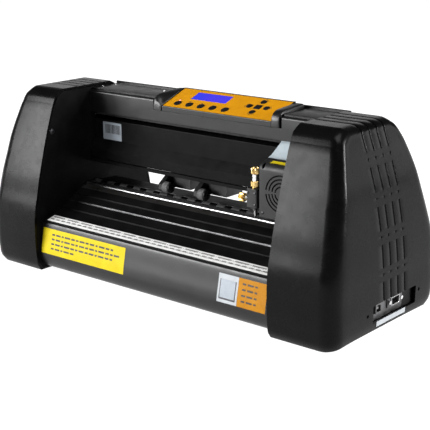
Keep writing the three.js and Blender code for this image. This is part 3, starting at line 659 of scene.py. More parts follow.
def groove_depth(lean_y, z, over_top):
    """Depth at a place on the outer side, whose y is taken along the lean of the grooves"""
    nearest = min(abs(lean_y - place) for place in GROOVE_PLACES)
    if nearest > GROOVE_SHAPE[-1][0]:
        return 0.0
    distances, depths = zip(*GROOVE_SHAPE)
    if over_top:
        return float(np.interp(nearest, distances, depths))
    beyond = min(
        max(low + GROOVE_END - z, z - (high - GROOVE_END), 0) for low, high in GROOVE_RUNS)
    return float(np.interp(math.hypot(nearest, beyond), distances, depths))


def groove_columns():
    """Places of the columns of points across all the grooves, from front to rear"""
    sides = sorted({-d for d, _ in GROOVE_SHAPE} | {d for d, _ in GROOVE_SHAPE})
    return [place + side for place in GROOVE_PLACES for side in sides]


def side_levels(side):
    """Levels of the rows on the outer side, close together at the groove ends"""
    heights = list(np.linspace(4, COVER_HIGH - 8, SIDE_ROWS))
    for low, high in GROOVE_RUNS:
        for end, way in ((low + GROOVE_END, -1), (high - GROOVE_END, 1)):
            heights += [end + way * distance for distance, _ in GROOVE_SHAPE]
    levels = np.linspace(COVER_LOW, COVER_HIGH, 400)
    actual = [cover_point(side, level, 0, math.pi / 2)[2] for level in levels]
    heights = [z for z in heights if actual[0] < z < actual[-1]]
    rows = sorted({COVER_LOW, COVER_HIGH, *np.round(np.interp(heights, actual, levels), 3)})
    kept = [rows[0]]
    for row in rows[1:]:
        if row - kept[-1] > LEAST_STEP:
            kept.append(row)
    kept[-1] = COVER_HIGH
    return kept


def grid_faces(rows, columns):
    return [
        [r * columns + c, r * columns + c + 1, (r + 1) * columns + c + 1, (r + 1) * columns + c]
        for r in range(rows - 1) for c in range(columns - 1)
    ]


def grid(rows):
    return [tuple(point) for row in rows for point in row], grid_faces(len(rows), len(rows[0]))


def grooved_row(front, rear, down, over_top):
    """Points from front to rear across the grooves, pressed in along down"""
    lean = (COVER_HIGH - front[2]) * GROOVE_LEAN
    first, last = front[1] - lean, rear[1] - lean
    columns = groove_columns()
    ahead = np.linspace(first, columns[0], 9)[:-1]
    behind = np.linspace(columns[-1], last, 9)[1:]
    row = []
    for place in [*ahead, *columns, *behind]:
        share = (place - first) / (last - first)
        point = front + (rear - front) * share
        row.append(point + down * groove_depth(place, point[2], over_top))
    return row


def cover_form(side, wall=0.0, grooved=True, inner=SPAN):
    """Closed form of an end cover, or of its hollow where a wall is given"""
    turns = [math.pi / 2 * i / EDGE_TURNS for i in range(EDGE_TURNS + 1)]
    levels = side_levels(side) if grooved else list(np.linspace(COVER_LOW, COVER_HIGH, PLAIN_ROWS))

    def columns_at(level, flank):
        starts = [cover_point(side, level, flank, 0, wall, x) for x in (inner, inner + 20)]
        return starts + [cover_point(side, level, flank, turn, wall) for turn in turns]

    flanks = [grid([columns_at(level, flank) for level in levels]) for flank in (0, 1)]
    tops = list(zip(columns_at(COVER_HIGH, 0), columns_at(COVER_HIGH, 1)))
    outers = [
        [cover_point(side, level, flank, math.pi / 2, wall) for flank in (0, 1)] for level in levels]
    if grooved:
        bends = [0, 0, *turns]
        downs = [np.array([-side * math.sin(t), 0, -math.cos(t)]) for t in bends]
        top = [grooved_row(*ends, down, True) for ends, down in zip(tops, downs)]
        outer = [grooved_row(*ends, np.array([-side, 0, 0]), False) for ends in outers]
        outer[-1] = top[-1]
    else:
        top, outer = [list(ends) for ends in tops], outers
    rim = [flanks[0][0][r * (len(turns) + 2)] for r in range(len(levels))]
    rim += top[0][1:-1]
    rim += [flanks[1][0][r * (len(turns) + 2)] for r in range(len(levels))][::-1]
    low_front = columns_at(COVER_LOW, 0)
    low_rear = columns_at(COVER_LOW, 1)
    base = [*low_front, *outer[0][1:-1], *low_rear[::-1]]
    caps = [
        ([tuple(p) for p in loop], [list(range(len(loop)))]) for loop in (rim, base)]
    return joined(*flanks, grid(top), grid(outer), *caps)


PORTS = {"front": -32.0, "rear": 59.0, "bottom": 17.0, "top": 38.0, "plate": 271.8}
INLET = (40.0, 52.0)
SWITCH = (70.0, 52.0)
COVER_SCREWS = [(-43.0, 29.0), (66.0, 31.6)]
# From inside a cover's outer wall to well outside it
RIGHT_CUT = (262, 290)
LEFT_CUT = (-290, -262)


def end_covers():
    recess = prism(
        rounded(PORTS["front"], PORTS["rear"], PORTS["bottom"], PORTS["top"], 1.5), *RIGHT_CUT, along_x)
    pits = [rod(y, z, 2.1, 274, RIGHT_CUT[1], along_x, 0.1, 20) for y, z in COVER_SCREWS]
    inlet = prism(centred(*INLET, 13.8, 10.3, 1.5), *LEFT_CUT, along_x)
    rocker = prism(centred(*SWITCH, 6.8, 10.8), *LEFT_CUT, along_x)
    windows = {1: joined(recess, *pits), -1: joined(inlet, rocker)}
    for side, name in ((1, "right_end_cover"), (-1, "left_end_cover")):
        cover = piece(f"{name}_shell", cover_form(side), "shell", stands_for=name)
        carve(cover, cover_form(side, COVER_WALL, False, SPAN - 1))
        carve(cover, windows[side])
        shade(cover, 40)


end_covers()


# ---------- side plates ----------
CHEEK_SCREW = (-72.4, 182.5)
CHEEK_FACE = -190.3


def side_plates():
    for name in ("left_side_plate", "right_side_plate"):
        finish_node(name, "plate", 0.3)
    head = screw_head(*CHEEK_SCREW, 2.6, CHEEK_FACE, 1, along_x)
    screws("cheek_screw", "cheek_screw_cross", [head], "dark_steel")


side_plates()


# ---------- feet and base ----------
FOOT_PLACE = (240, 78)


def feet():
    """Rubber pads under the corners of the base"""
    profile = [(7.6, 1.7), (8.9, 1.5), (9, 0.6), (8.4, 0.1), (6.5, 0)]
    for end, y in (("front", -FOOT_PLACE[1]), ("rear", FOOT_PLACE[1])):
        for side, x in (("left", -FOOT_PLACE[0]), ("right", FOOT_PLACE[0])):
            pad = lathe(profile, (x, y), along_z)
            piece(f"foot_pad_{end}_{side}", pad, "rubber", stands_for=f"foot_{end}_{side}")


feet()
finish_node("base_pan", "plate", 0.5)


# Height of each row of dashes, and its share of the full length
YELLOW_ROWS = [(53.2, 0.93), (47.2, 0.97), (41.2, 0.9), (35.2, 0.34)]
YELLOW_ROW_START = -170
YELLOW_ROW_LENGTH = 128
DATA_ROWS = 4
DASHES = [5.2, 8.4, 3.6, 10.1, 6.3, 4.4, 9.0]
DASH_GAP = 2.2


def apron():
    """Front skirt under the ruler, with its labels"""
    line = flowing(APRON, 6)
    sheet = prism(ribbon(line, 1.6), -INNER, INNER, along_x)
    piece("apron_sheet", sheet, "fascia", stands_for="front_apron")

    def patch(name, x0, x1, z_low, z_high, look, lift=0.0, thick=0.12):
        part = [p for p in line if z_low < p[1] < z_high and p[0] < -90]
        piece(name, prism(ribbon(part, thick, thick + lift), x0, x1, along_x), look)

    patch("yellow_label", -187.5, -38, 26, 60.5, "yellow")
    for row, (z, share) in enumerate(YELLOW_ROWS):
        end = YELLOW_ROW_START + YELLOW_ROW_LENGTH * share
        row_of_dashes(line, f"yellow_label_row_{row}", YELLOW_ROW_START, end, z, 2.2)
    patch("data_label", 112, 141, 26, 60.5, "side_paper")
    patch("data_label_field", 141.3, 182, 26, 60.5, "orange_label")
    patch("data_label_frame", 114.5, 138.5, 29.5, 57, "dark_steel", 0.1)
    patch("data_label_middle", 116, 137, 31, 55.5, "paper", 0.2)
    for row in range(DATA_ROWS):
        row_of_dashes(line, f"data_label_row_{row}", 147, 178 - 5 * (row % 2), 54 - row * 6.6, 2.0)


def point_on(line, z):
    """The line's point at a height, on its steep part"""
    steep = [(p[1], p[0]) for p in line if 22 < p[1] < 64.5]
    steep.sort()
    return float(np.interp(z, *zip(*steep))), z


def row_of_dashes(line, name, x0, x1, z, height):
    """A row of plain dashes of uneven length, a little proud of its label"""
    part = [point_on(line, z - height / 2), point_on(line, z + height / 2)]
    bars, x = [], x0
    for length in itertools.cycle(DASHES):
        if x + length >= x1:
            break
        bars.append(prism(ribbon(part, 0.1, 0.24), x, x + length, along_x))
        x += length + DASH_GAP
    piece(name, joined(*bars), "ink")


apron()


# ---------- bed ----------
BED_LINE = [
    (-95.7, 68.8), (-84, 72), (-62, 78), (-50, 86.2), (-38, 92.9), (-21, 102), (-15, 103.4), (-8, 103.9),
]
RIB_CRESTS = [(-61, 79.2, "anodised"), (-49, 87.3, "rib"), (-37.6, 93.6, "anodised")]
RIB_SECTION = [(-1.2, -1.6), (-0.9, 0.4), (-0.2, 1.0), (0.5, 1.1), (1.2, -0.2)]
KERB = [(-17.6, 102.2), (-17, 104.2), (-14, 104.6), (-13, 103.2)]
COMB_LINE = [(-26.4, 99.1), (-21, 102), (-18.2, 102.64)]
TOOTH_WIDTH = 1.1
TOOTH_PITCH = 2.8
TEETH_REACH = 186


def bed():
    sheet = prism(ribbon(BED_LINE, 2.6), -INNER, INNER, along_x)
    web = block(-INNER, INNER, -12, -9, 88, 101.5)
    piece("bed_sheet", joined(sheet, web), "anodised", stands_for="platen", edge=0.5)
    for i, (y, z, look) in enumerate(RIB_CRESTS):
        section = [(y + dy, z + dz) for dy, dz in RIB_SECTION]
        piece(f"bed_rib_{i + 1}", prism(section, -INNER, INNER, along_x), look, edge=0.25)
    piece("bed_kerb", prism(KERB, -INNER, INNER, along_x), "kerb", edge=0.3)
    piece("bed_comb", prism(ribbon(COMB_LINE, 0.1, 0.2), -INNER, INNER, along_x), "rib")
    teeth = [
        prism(ribbon(COMB_LINE, 0.05, 0.3), x, x + TOOTH_WIDTH, along_x)
        for x in np.arange(-TEETH_REACH, TEETH_REACH, TOOTH_PITCH)]
    piece("comb_teeth", joined(*teeth), "ink")
    finish_node("cutting_strip", "key", 0.3)


bed()


# ---------- ruler ----------
INCH = 25.4
RULER_START = -182.5
RULER_INCHES = 14
RULER_CENTIMETRES = 36
RULER_FRONT = np.array([-94.4, 70.0])
RULER_REAR = np.array([-81.5, 73.6])
INK_LAYER = (0.005, 0.06)


def ruler():
    """White scale with centimetre and inch marks"""
    run = np.linalg.norm(RULER_REAR - RULER_FRONT)
    ahead = (RULER_REAR - RULER_FRONT) / run
    normal = np.array([-ahead[1], ahead[0]])

    def on_scale(u, v, w):
        y, z = RULER_FRONT + ahead * v + normal * w
        return (u, y, z)

    def mark(x, half_width, low, high):
        return prism(rectangle(x - half_width, x + half_width, low, high), *INK_LAYER, on_scale)

    def places(count, divisions, pitch):
        """Number and place of each mark, but for the three round each numeral"""
        return [
            (i, RULER_START + i * pitch / divisions)
            for i in range(count * divisions) if i % divisions not in (0, 1, divisions - 1)]

    scale = prism(rectangle(-183, 183, 0, run), -0.5, 0, on_scale)
    piece("ruler_scale", scale, "strip", stands_for="ruler_strip")
    marks = [
        mark(x, 0.5, run - 2 - (3.2 if i % 4 == 0 else 2.6), run - 2)
        for i, x in places(RULER_INCHES, 16, INCH)]
    marks += [
        mark(x, 0.34, 3.4, 3.4 + (3.0 if i % 5 == 0 else 2.4))
        for i, x in places(RULER_CENTIMETRES, 10, 10)]
    piece("ruler_marks", joined(*marks), "ink")
    digits = [(str(i), RULER_START + i * 10, 3.5, 2.0) for i in range(1, RULER_CENTIMETRES + 1)]
    digits += [(str(i), RULER_START + i * INCH, run - 4.6, 2.6) for i in range(1, RULER_INCHES + 1)]
    numerals(digits, on_scale)


def numerals(labels, place):
    """Scale numbers as one thin mesh"""
    points, faces = [], []
    for text, u, v, size in labels:
        curve = bpy.data.curves.new("digit", "FONT")
        curve.body = text
        curve.size = size
        curve.align_x = "CENTER"
        curve.resolution_u = 2
        curve.offset = 0.06
        holder = in_scene("digit", curve)
        graph = bpy.context.evaluated_depsgraph_get()
        flat = bpy.data.meshes.new_from_object(holder.evaluated_get(graph))
        start = len(points)
        points += [place(u + p.co.x, v + p.co.y, 0.05) for p in flat.vertices]
        faces += [[start + i for i in face.vertices] for face in flat.polygons]
        bpy.data.objects.remove(holder)
        bpy.data.meshes.remove(flat)
    piece("ruler_numbers", (points, faces), "ink")


ruler()
finish_node("rear_guide", "plate", 0.3)


# ---------- beam ----------
BEAM_OUTER = [(3, 190), (3, 162), (-5, 150.5), (-5, 137), (46, 137), (46, 190)]
BEAM_BORE = [(5.5, 187.5), (5.5, 163), (-2.5, 149.5), (-2.5, 139.5), (43.5, 139.5), (43.5, 187.5)]
BAR_WIDTHS = [0.8, 0.5, 1.3, 0.6, 1.7, 0.5, 0.9, 1.5, 0.6, 1.2]
BAR_COUNT = 17
BAR_GAP = 0.75


def beam():
    tube = piece(
        "beam_extrusion", prism(BEAM_OUTER, -INNER, INNER, along_x), "anodised", stands_for="main_beam",
        holes=prism(BEAM_BORE, -SPAN - 5, SPAN + 5, along_x))
    ease(tube, 0.9, segments=3)
    finish_node("carriage_rail", "anodised", 0.4)
    beam_label()


def beam_label():
    """Plain label with a bar pattern on the beam's upper face"""
    def on_beam(u, v, w):
        return (u, 3 - w, v)

    piece("beam_label", prism(rounded(-173, -139, 163.5, 187, 1.2), 0.0, 0.12, on_beam), "paper")
    bars, x = [], -168.6
    for i in range(BAR_COUNT):
        wide = BAR_WIDTHS[(i * 3) % 10]
        bars.append(prism(rectangle(x, x + wide, 172, 184), 0.11, 0.18, on_beam))
        x += wide + BAR_GAP
    piece("beam_label_bars", joined(*bars), "ink")


beam()


# ---------- fascia ----------
FASCIA_FACE = -3.0
FASCIA_SHOULDER = 228.4
FASCIA_ROUND = 3.2
FASCIA_TOP = 231.2
# From the foot of the rear wall, over its rim and along the top to the step at the front
FASCIA_SKIN = [
    (50, 152), (50, 233.7), (49.2, 234.5), (48.2, 234.5), (47.5, 233.8), (47.5, 231.2),
    (3.4, 231.2), (2.6, 230.9), (2.2, 230.2), (2.2, 228.7),
]
FASCIA_LINING = [(-0.5, 200), (-0.5, 225.2), (3.2, 225.9), (4.2, 228.7), (47.5, 228.7), (47.5, 152)]
FASCIA_SCREWS = [(-182.7, 38.1), (-185.3, 17.1), (-92.2, 37.6), (183.5, 38.1), (183.5, 17.1)]
CONSOLE = {"left": -74.0, "right": 126.2, "front": -4.2, "rear": 45.5, "bottom": 214.5, "seam": 2.4}


def fascia_section():
    """A hood, open at the bottom, whose rear wall reaches down behind the beam"""
    centre = (FASCIA_FACE + FASCIA_ROUND, FASCIA_SHOULDER - FASCIA_ROUND)
    shoulder = arc(centre, FASCIA_ROUND, 90, 180, 8)
    return FASCIA_SKIN + shoulder + [(FASCIA_FACE, 200)] + FASCIA_LINING


def fascia():
    notch = block(
        CONSOLE["left"] - 0.3, CONSOLE["right"] + CONSOLE["seam"], -8, CONSOLE["rear"] + 0.3,
        CONSOLE["bottom"] - 0.3, 260)
    cover = piece(
        "fascia_cover", prism(fascia_section(), -INNER, INNER, along_x), "fascia", stands_for="top_cover",
        holes=notch, sharp=28)
    ease(cover, 0.35, angle=50)
    heads = [screw_head(x, y, 1.9, FASCIA_TOP, 1, along_z, False) for x, y in FASCIA_SCREWS]
    screws("fascia_screws", "fascia_screw_crosses", heads, "nickel")


fascia()


# ---------- console ----------
CONSOLE_RIM = 0.5  # how far the rim stands above the film
# Raised ends beside the key panel, from the top of the rear to the front, as (y, z)
CHEEK = [
    (45.5, 232), (45.5, 235.2), (43.5, 236.7), (26, 235.5), (15, 234.8), (6, 234.1), (2.1, 232.9),
    (-0.8, 230.8), (-3.2, 227.3), (-4.2, 222),
]
PANEL_EDGE = [(45.5, 232), (45.5, 236.3), (43.6, 238.1)]  # rear of the section beside the film
KEY_GAP = 0.35
ENTER_HALF = 4.5
ENTER_LAYERS = [(ENTER_HALF, -4), (ENTER_HALF, 0.4), (4.35, 0.7), (4.0, 0.92), (3.0, 1.0)]
SIGN_LIFT = 7.2  # from the middle of a key to the sign over it
BRACKET_TURN = 62


def slope(v, w):
    """Section point of the console at a place up its slope"""
    return on_panel(0, v, w)[1:]


def console_section(raised, drop=0.0, inset=0.0):
    """Section of an end of the console; raised is 0 beside the film and 1 at the cheek"""
    foot = slope(0, 0)[1]
    beside = PANEL_EDGE + [
        (y, foot + (y - PANEL_FRONT) * math.tan(PANEL_SLOPE) + 0.8) for y, _ in CHEEK[3:8]]
    beside += [(-3.4, PANEL_HEIGHT + 0.2), (-4.2, PANEL_HEIGHT - 0.6)]
    top = [
        (low[0] + (high[0] - low[0]) * raised, low[1] + (high[1] - low[1]) * raised - drop)
        for low, high in zip(beside, CHEEK)
    ]
    front = CONSOLE["front"] + inset
    top = [(max(y, front), z) for y, z in top]
    return [(front, CONSOLE["bottom"]), (CONSOLE["rear"], CONSOLE["bottom"])] + top


def console_tray_section():
    """The section between the cheeks, open above the key board"""
    rear, front = PANEL_LENGTH + 0.3, -0.3
    ledge = [slope(v, w) for v, w in (
        (rear + 1.1, CONSOLE_RIM), (rear, CONSOLE_RIM), (rear, -1.1), (43.5, -1.1), (43.5, -9),
        (3, -7.4), (3, -1.1), (front, -1.1), (front, CONSOLE_RIM), (front - 0.6, CONSOLE_RIM),
    )]
    base = [(CONSOLE[end], CONSOLE["bottom"]) for end in ("front", "rear")]
    return base + [(CONSOLE["rear"], 236.2)] + ledge + [(CONSOLE["front"], PANEL_HEIGHT - 0.4)]


def console():
    """Housing of the key panel: two raised cheeks and the tray between them"""
    left, right = CONSOLE["left"], CONSOLE["right"]
    film_left, film_right = PANEL_LEFT - 0.3, PANEL_LEFT + PANEL_WIDTH + 0.3
    # Each ring's place, how raised it is, and how far it is lowered and set back
    left_cheek = [
        (left, 1, 3.5, 0.4), (left + 1, 1, 1.0, 0), (-71.6, 1, 0.1, 0), (-70.4, 0.97, 0, 0),
        (-65.0, 0.62, 0, 0), (-62.0, 0.2, 0, 0), (film_left - 1.3, 0, 0, 0),
    ]
    right_cheek = [
        (film_right, 0, 0, 0), (film_right + 0.5, 0.93, 0, 0), (film_right + 1.4, 1, 0, 0),
        (right - 1.6, 1, 0, 0), (right - 0.5, 1, 0.5, 0.3), (right, 1, 1.5, 0.9),
    ]
    cheeks = [
        lofted([[along_x(y, z, x) for y, z in console_section(*form)] for x, *form in cheek])
        for cheek in (left_cheek, right_cheek)
    ]
    tray = prism(console_tray_section(), film_left, film_right, along_x)
    frame_form = joined(*cheeks, tray)
    piece("console_frame", frame_form, "fascia", stands_for="console_housing", edge=0.5, sharp=40)
    panel_film()
    display()
    console_keys()
    panel_print()


def key_places():
    return [(u * PANEL_WIDTH, KEY_ROW * PANEL_LENGTH) for u in KEY_COLUMNS]


def pad_places():
    """Middle of each arrow key, with its side and direction"""
    return [
        (side, (PAD_CENTRE[0] + du * PAD_REACH[0], PAD_CENTRE[1] + dv * PAD_REACH[1]), (du, dv))
        for side, (du, dv) in PAD_SIDES.items()]


def panel_film():
    outlines = [circle(place, KEY_RADIUS + KEY_GAP) for place in key_places()]
    outlines += [circle(place, PAD_RADIUS + KEY_GAP) for _, place, _ in pad_places()]
    outlines.append(centred(*PAD_CENTRE, ENTER_HALF + KEY_GAP, ENTER_HALF + KEY_GAP, 0.9))
    outlines.append(rounded(LCD[0] - 0.2, LCD[1] + 0.2, LCD[2] - 0.2, LCD[3] + 0.2, 0.8))
    holes = joined(*(prism(outline, -3, 3, on_panel) for outline in outlines))
    blank = prism(rounded(0, PANEL_WIDTH, 0, PANEL_LENGTH, 1.6), -0.8, 0, on_panel)
    piece("panel_film", blank, "orange", stands_for="panel_overlay", holes=holes, edge=0.12)


def display():
    glass = prism(rounded(*LCD, 0.7), -1.6, -0.3, on_panel)
    piece("display_glass", glass, "glass", edge=0.15)
    board = prism(rounded(5, PANEL_WIDTH - 5, 4, PANEL_LENGTH - 4, 2), -6.9, -5.4, on_panel)
    module = prism(rectangle(LCD[0] - 2, LCD[1] + 2, LCD[2] - 2, LCD[3] + 1.5), -5.5, -1.7, on_panel)
    piece("keypad_board", joined(board, module), "board", stands_for="display_board")


def dome(radius):
    """Profile of a round key, as (radius, height over the film)"""
    return [
        (radius, -4), (radius, 0.35), (radius - 0.12, 0.6), (radius - 0.4, 0.8),
        (radius - 1.1, 0.92), (radius * 0.5, 0.98), (0.3, 1.0),
    ]


def console_keys():
    for i, place in enumerate(key_places()):
        name = f"function_key_{i + 1}"
        piece(f"{name}_cap", lathe(dome(KEY_RADIUS), place, on_panel), "key", name, name)
    for side, place, _ in pad_places():
        name = f"arrow_key_{side}"
        piece(f"{name}_cap", lathe(dome(PAD_RADIUS), place, on_panel, 36), "key", name, name)
    rings = [
        [on_panel(u, v, w) for u, v in centred(*PAD_CENTRE, half, half, 0.8)] for half, w in ENTER_LAYERS]
    piece("enter_key_cap", lofted(rings), "key", "enter_key", "enter_key")


def panel_print():
    """Thin printed marks: brackets round the arrow keys, small signs over the keys"""
    marks = []
    for _, (u, v), (du, dv) in pad_places():
        facing = math.degrees(math.atan2(dv, du)) % 360
        turns = (facing - BRACKET_TURN, facing + BRACKET_TURN)
        marks.append(arc_band((u, v), PAD_RADIUS + 1.6, *turns, 0.45))
        tip = (u + du * 7.6, v + dv * 7.6)
        base = [
            (tip[0] + way * dv * 1.1 - du, tip[1] + way * du * 1.1 - dv) for way in (-1, 1)]
        marks.append([*base, tip])
    for u, v in key_places()[1:3]:
        marks.append(centred(u - 3.5, v + SIGN_LIFT, 1.3, 0.7, 0.5))
    forms = [prism(mark, 0.0, 0.05, on_panel) for mark in marks]
    piece("panel_marks", joined(*forms), "ink")
    u, v = key_places()[0]
    led = lathe([(1.5, 0.0), (1.4, 0.3), (0.9, 0.5), (0.2, 0.55)], (u - 1.8, v + SIGN_LIFT), on_panel, 20)
    piece("panel_lamp", led, "lamp")


console()


# ---------- carriage drive ----------
def toothed(u, v, radius, low, high, place, teeth):
    """A pulley with teeth and two flanges"""
    def flange(start, end):
        return [(radius - 0.3, start), (radius, start + 0.2), (radius, end - 0.2), (radius - 0.3, end)]

    depth = radius - 0.7
    body = lathe([(depth, low + 0.5), (depth, high - 0.5)], (u, v), place, teeth * 4, 0.7, teeth)
    rims = [lathe(flange(*ends), (u, v), place, 48) for ends in ((low, low + 0.7), (high - 0.7, high))]
    return joined(body, *rims)


def drives():
    for name, x in (("drive_pulley", 217.0), ("idler_pulley", -207.0)):
        wheel = toothed(x, 22, 8.6, 192.7, 200.3, along_z, 24)
        axle = rod(x, 22, 2.5, 188.0, 200.8, along_z)
        piece(f"{name}_wheel", joined(wheel, axle), "satin", name, name)
    finish_node("carriage_belt", "rubber", 0.2)
    finish_node("feed_belt", "rubber", 0.2)
    feed = toothed(0, 101, 22, 196, 202, along_x, 60)
    hub = lathe([(7, 195), (7, 203.5), (6.6, 204)], (0, 101), along_x, 32)
    piece("feed_pulley_wheel", joined(feed, hub), "satin", "feed", "feed_pulley")
    motor = toothed(36, 66, 8, 196, 202, along_x, 22)
    piece("motor_pulley_wheel", motor, "satin", "motor_pulley", "motor_pulley")
    finish_node("idler_bracket", "folded", 0.3)
    motors()


# First end, direction and middle of each motor
MOTORS = {
    "carriage_motor": (149.7, along_z, (217.0, 22.0)),
    "feed_motor": (205.0, along_x, (36.0, 66.0)),
}
MOTOR_LENGTH = 38
MOTOR_CAP = 9
MOTOR_SHEETS = 10


def motors():
    """Laminated stepper motors with end caps"""
    for name, (low, place, centre) in MOTORS.items():
        high = low + MOTOR_LENGTH
        caps = [
            prism(centred(*centre, 20, 20, 4), start, end, place)
            for start, end in ((low, low + MOTOR_CAP), (high - MOTOR_CAP, high))
        ]
        core = [
            prism(centred(*centre, 19.4, 19.4, 5), low + 9.2 + i * 2, low + 10.9 + i * 2, place)
            for i in range(MOTOR_SHEETS)
        ]
        piece(f"{name}_caps", joined(*caps), "plate", "root", name, edge=0.5)
        piece(f"{name}_core", joined(*core), "dark_steel")


drives()


# ---------- carriage ----------
LOUVRE_RADII = [7.5 + ring * 4.4 for ring in range(4)]
LOUVRE_TURN = 168
PEEPHOLE = (129.8, 176.6)
CASE_LABEL_LINE = [(-34.6, 180.55), (-31.0, 180.75), (-28.2, 181.7)]
COIL = (154, 146)


def case_section(wall):
    """Section of the carriage cover, drawn in by its wall for the hollow"""
    front, radius = CASE["front"] + wall, 9 - wall
    rear = CASE["rear"] + (1 if wall else 0)
    low = CASE["bottom"] + wall
    top = [(rear, 184.5 - wall), (front + 19, 183.2 - wall), (front + 12, 181.8 - wall)]
    return [(front, low), (rear, low)] + top + arc(
        (front + radius, 180.5 - wall - radius), radius, 90, 180, 8)


def carriage_case():
    slots = [
        prism(arc_band(LOUVRE, inner, start, start + LOUVRE_TURN, 1.8, 24), -42, -37, along_y)
        for inner in LOUVRE_RADII for start in (6, 186)]
    wall = CASE["wall"]
    hollow = prism(case_section(wall), CASE["left"] + wall, CASE["right"] - wall, along_x)
    case = piece(
        "carriage_case", prism(case_section(0), CASE["left"], CASE["right"], along_x), "case", "carriage",
        "carriage_cover", holes=hollow)
    carve(case, joined(*slots))
    carve(case, prism(ellipse(PEEPHOLE, 1.9, 3.2), -45, -30, along_y))
    case.data.set_sharp_from_angle(angle=math.radians(32))
    ease(case, 0.5, 3, 40)
    # A dark disc just behind the louvre slots paints the shade inside the case
    shade_disc = prism(circle(LOUVRE, 24, 48), -37.6, -37.0, along_y)
    piece("louvre_shade_disc", shade_disc, "painted_shade", "carriage")
    label = prism(ribbon(CASE_LABEL_LINE, 0.12, 0.12), 136, 183, along_x)
    piece("case_label", label, "yellow", "carriage")
    heads = [screw_head(x, 121, 1.8, CASE["front"], -1, along_y, False) for x in (129.5, 182.5)]
    screws("case_screws", "case_screw_crosses", heads, "dark_steel", "carriage")


carriage_case()
finish_node("carriage_plate", "anodised", 0.3)


def coil():
    can = lathe([(11.4, -33.8), (12, -33.2), (12, -10.6), (11.6, -10.4)], COIL, along_y, 48)
    piece("coil_can", can, "folded", "carriage", "tool_coil")
    piece("coil_plunger", rod(*COIL, 3, -35.5, -33.5, along_y), "nickel", "carriage")


coil()


# The blade holder from its tip up: (radius, height) points, look, depth and number of flutes
HOLDER_STAGES = {
    "blade_tip": ([(0.3, 109), (1.2, 109.6), (2.4, 113), (2.4, 118), (4.3, 122)], "nickel", 0, 0),
    "holder_barrel": ([(4.3, 122), (4.4, 122.4), (4.4, 147.4), (4.1, 147.6)], "brass", 0, 0),
    "holder_collar": ([(4.6, 147.6), (5.4, 148.1), (5.4, 153.6), (4.8, 154.1)], "brass", 0.18, 36),
    "holder_sleeve": ([
        (4.1, 154.1), (4.2, 154.4), (4.2, 158), (3.6, 158.2),
        (3.6, 158.9), (4.2, 159.1), (4.2, 162.2), (4, 162.5),
    ], "nickel", 0, 0),
    "holder_knob": ([
        (4.3, 162.5), (5, 163), (5, 168.6), (4.6, 169.3), (3.8, 170.2), (2.6, 170.9), (0.3, 171),
    ], "brass", 0.4, 28),
}
THREAD_PITCH = 0.9
THREAD_TURNS = 10
TOOL_BOLTS = [(-5, 0), (5, 0), (5, 14)]  # sideways and down from the upper middle of the clamp


def tool():
    x, y = TOOL
    body = prism(rounded(x - 8, x + 8, y - 8, y + 9, 2.2), 123, 146, along_z)
    bore = prism(circle(TOOL, 4.7), 120, 150, along_z)
    piece("tool_clamp", body, "arm", "tool", "tool_slide", holes=bore, edge=0.5)
    piece("tool_tongue", block(x + 7, 124, y + 4.2, y + 9, 125, 146), "arm", "tool", edge=0.5)
    bolts = [screw_head(x + dx, 141 - dz, 1.5, y - 8.0, -1, along_y, False)[0] for dx, dz in TOOL_BOLTS]
    piece("tool_bolts", joined(*bolts), "dark_steel", "tool")
    for name, (profile, look, wave, waves) in HOLDER_STAGES.items():
        form = lathe(profile, TOOL, along_z, waves * 4 or 40, wave, waves)
        piece(name, form, look, "tool", "blade_holder" if name == "holder_barrel" else "")
    thumb_screw(x, (y, TOOL_SCREW_HEIGHT))


def thumb_screw(x, centre):
    """Knurled knob and threaded shank, to the left of the tool"""
    knob = [(4.2, x - 23), (5.1, x - 22.6), (5.4, x - 22), (5.4, x - 16), (5.1, x - 15.4), (4.2, x - 15)]
    piece("thumb_knob", lathe(knob, centre, along_x, 112, 0.5, 28), "brass", "clamp", "clamp_screw")
    shank = [(1.5, x - 15)]
    for at in (x - 14.6 + i * THREAD_PITCH for i in range(THREAD_TURNS)):
        shank += [(1.5, at), (1.25, at + THREAD_PITCH / 2)]
    shank += [(1.5, x - 5.4), (1.2, x - 5.2)]
    piece("thumb_shank", lathe(shank, centre, along_x, 24), "nickel", "clamp")


tool()


CABLE_LINE = [(-25, 184.2), (-19, 186), (-7, 193.5), (0.2, 198.6), (0.6, 203), (1, 212)]
CABLE_WIRES = 22
WIRE_GAP = 0.12  # half the furrow between two wires


def flat_cable():
    line = flowing(CABLE_LINE, 6)
    low, high = CASE["left"] + 1.2, CASE["right"] - 3.2
    pitch = (high - low) / CABLE_WIRES
    wires = [
        prism(ribbon(line, 0.6), low + i * pitch + WIRE_GAP, low + (i + 1) * pitch - WIRE_GAP, along_x)
        for i in range(CABLE_WIRES)]
    web = prism(ribbon(line, 0.3, -0.12), low + 0.2, high - 0.2, along_x)
    piece("flat_cable", joined(web, *wires), "ribbon", "carriage", "ribbon_cable")


flat_cable()


# ---------- feed and pinch wheels ----------
def feed():
    shaft = rod(0, 101, 6, -187, 187, along_x, 0.4, 48)
    journals = rod(0, 101, 4, -200, 204, along_x)
    piece("grit_shaft", joined(shaft, journals), "grit", "feed", "feed_shaft")
    finish_node("pinch_shaft", "steel", 0.3)


feed()


# Radius, and distance from the left side of the wheel
TYRE = [(5.6, 0), (6.9, 0.1), (7.4, 0.8), (7.4, 8.8), (6.9, 9.5), (5.6, 9.6)]
HUB = [
    (6.1, 9.4), (6.6, 9.8), (6.6, 11.2), (6.1, 11.6), (4.9, 11.6),
    (4.5, 10.9), (3.1, 10.9), (2.8, 12.3), (2.0, 12.5),
]
PIN_CAP = [(1.7, 12.3), (1.6, 12.5), (0.9, 12.5), (0.2, 12.5)]


